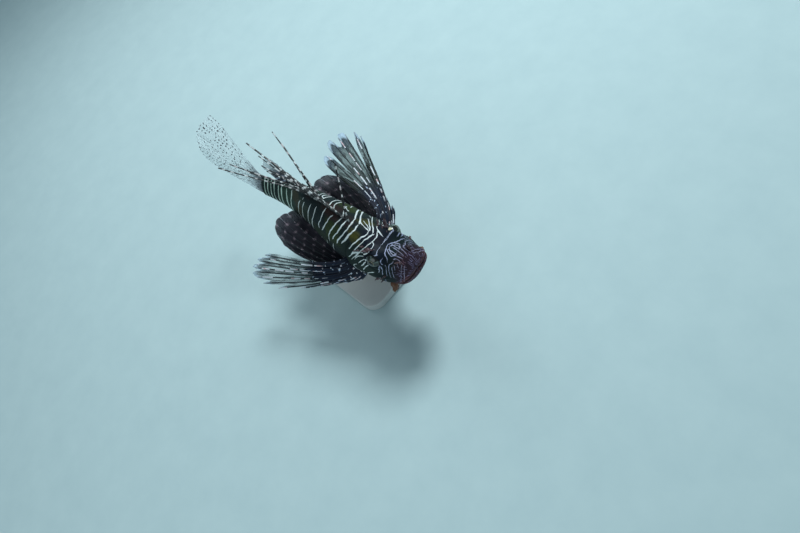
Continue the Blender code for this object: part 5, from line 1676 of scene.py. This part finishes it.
def makeBase(material):
    # the base with its upper edge rounded, and a thin line of shadow round its foot
    low, high = (Vector(corner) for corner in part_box("stand_base"))
    corner, steps = 0.016, 12
    profile = ((0.0012, 0.0), (0.0012, 0.0008), (0.0, 0.0014), (0.0, high.z - 0.0014))
    profile += tuple((0.0014 * (1 - math.cos(a)), high.z - 0.0014 * (1 - math.sin(a)))
                     for a in np.linspace(0.25, math.pi / 2, 6))
    rings = []
    for inset, z in profile:
        ring = []
        for quarter in range(4):
            cx = (high.x - corner) if quarter in (0, 3) else (low.x + corner)
            cy = (high.y - corner) if quarter in (0, 1) else (low.y + corner)
            for k in range(steps + 1):
                a = math.pi / 2 * (quarter + k / steps)
                ring.append((cx + (corner - inset) * math.cos(a), cy + (corner - inset) * math.sin(a), z))
        rings.append(ring)
    count = len(rings[0])
    faces = gridFaces(len(rings), count, closed=True).tolist()
    faces.append(list(range(count))[::-1])
    faces.append([(len(rings) - 1) * count + k for k in range(count)])
    mesh = meshFrom("stand_plinth", np.array(rings), faces)
    mendMesh(mesh, 0.000001)
    mesh.set_sharp_from_angle(angle=math.radians(40))
    plinth = addPiece("stand_plinth", mesh, material)
    mesh.set_sharp_from_angle(angle=math.radians(40))
    return finish(plinth, "stand_paint", "stand_base")


def makeCollars(material):
    # a turned collar holds the foot of each rod
    plan = standPlan
    pieces = []
    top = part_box("stand_base")[1][2]
    for node in ("stand_rod_front", "stand_rod_rear"):
        low, high = (Vector(corner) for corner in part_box(node))
        x, y = (low.x + high.x) / 2, (low.y + high.y) / 2
        inner = (high.x - low.x) / 2 + 0.00012
        profile = ((inner, 0.0001), (plan["collar"], 0.0001), (plan["collar"], 0.0009),
                   (plan["collar"] - 0.0004, 0.0013), (inner + 0.0010, 0.0017), (inner + 0.0007, plan["collarHigh"]),
                   (inner, plan["collarHigh"]))
        turns = np.linspace(0, 2 * np.pi, plan["turns"], endpoint=False)
        grid = np.array([[(x + r * math.cos(a), y + r * math.sin(a), top + z) for a in turns] for r, z in profile])
        grid = np.concatenate([grid, grid[:1]])
        mesh = meshFrom(node + "_collar", grid, gridFaces(len(grid), plan["turns"], closed=True))
        mendMesh(mesh, 0.000001)
        pieces.append(addPiece(node + "_collar", mesh, material))
    collars = joinPieces("stand_collars", pieces)
    collars.data.set_sharp_from_angle(angle=math.radians(35))
    return finish(collars, "stand_steel")


steel = steelMaterial()
makeBase(paintMaterial())
makeCollars(steel)
for node in ("stand_rod_front", "stand_rod_rear"):
    rod = bpy.data.objects[node]
    for slot in rod.material_slots:
        slot.material = steel
print("stand made")


# stage

def addStage():
    bpy.context.scene.view_settings.view_transform = "Standard"
    bpy.ops.mesh.primitive_plane_add(size=6.0, location=(0, 0, 0))
    floor = bpy.context.object
    floor.name = "floor"
    material, work, shader = newMaterial("paleFloor", {"Roughness": 0.9, "Specular IOR Level": 0.2})
    grain = work.noise(work.place(), 30.0, 4.0, 0.6)
    work.put(shader.inputs["Base Color"], work.mix(grain, (.46, .590, .610), (.54, .670, .680)))
    floor.data.materials.append(material)
    world = bpy.data.worlds.new("studio")
    bpy.context.scene.world = world
    world.use_nodes = True
    world.node_tree.nodes["Background"].inputs[0].default_value = (.50, .78, .95, 1)
    world.node_tree.nodes["Background"].inputs[1].default_value = 0.20
    for name, at, size, power in (("key", (-0.15, 0.75, 1.15), 0.45, 14), ("fill", (0.5, -0.8, 0.7), 0.9, 3.0),
                                  ("back", (-0.8, 0.1, 0.8), 0.6, 3)):
        light = bpy.data.lights.new(name, 'AREA')
        light.shape = 'DISK'
        light.size = size
        light.energy = power
        light.color = (0.86, 0.97, 1.0)
        lamp = bpy.data.objects.new(name, light)
        bpy.context.scene.collection.objects.link(lamp)
        way = Vector(fishPlan["middle"]) - Vector(at)
        lamp.matrix_world = Matrix.Translation(at) @ way.to_track_quat('-Z', 'Y').to_matrix().to_4x4()


def addCamera():
    camera = bpy.data.cameras.new("camera")
    camera.lens = 30.015
    camera.sensor_width = 36
    eye = bpy.data.objects.new("camera", camera)
    bpy.context.scene.collection.objects.link(eye)
    turn = Matrix(((.65539586, .64118072, -.39917858), (-.44607493, .75509146, .48047273),
                   (.60948619, -.13683628, .78089846))).transposed()
    eye.matrix_world = Matrix.Translation((.45442506, -.07856183, .5335463)) @ turn.to_4x4()
    bpy.context.scene.camera = eye


addStage()
addCamera()
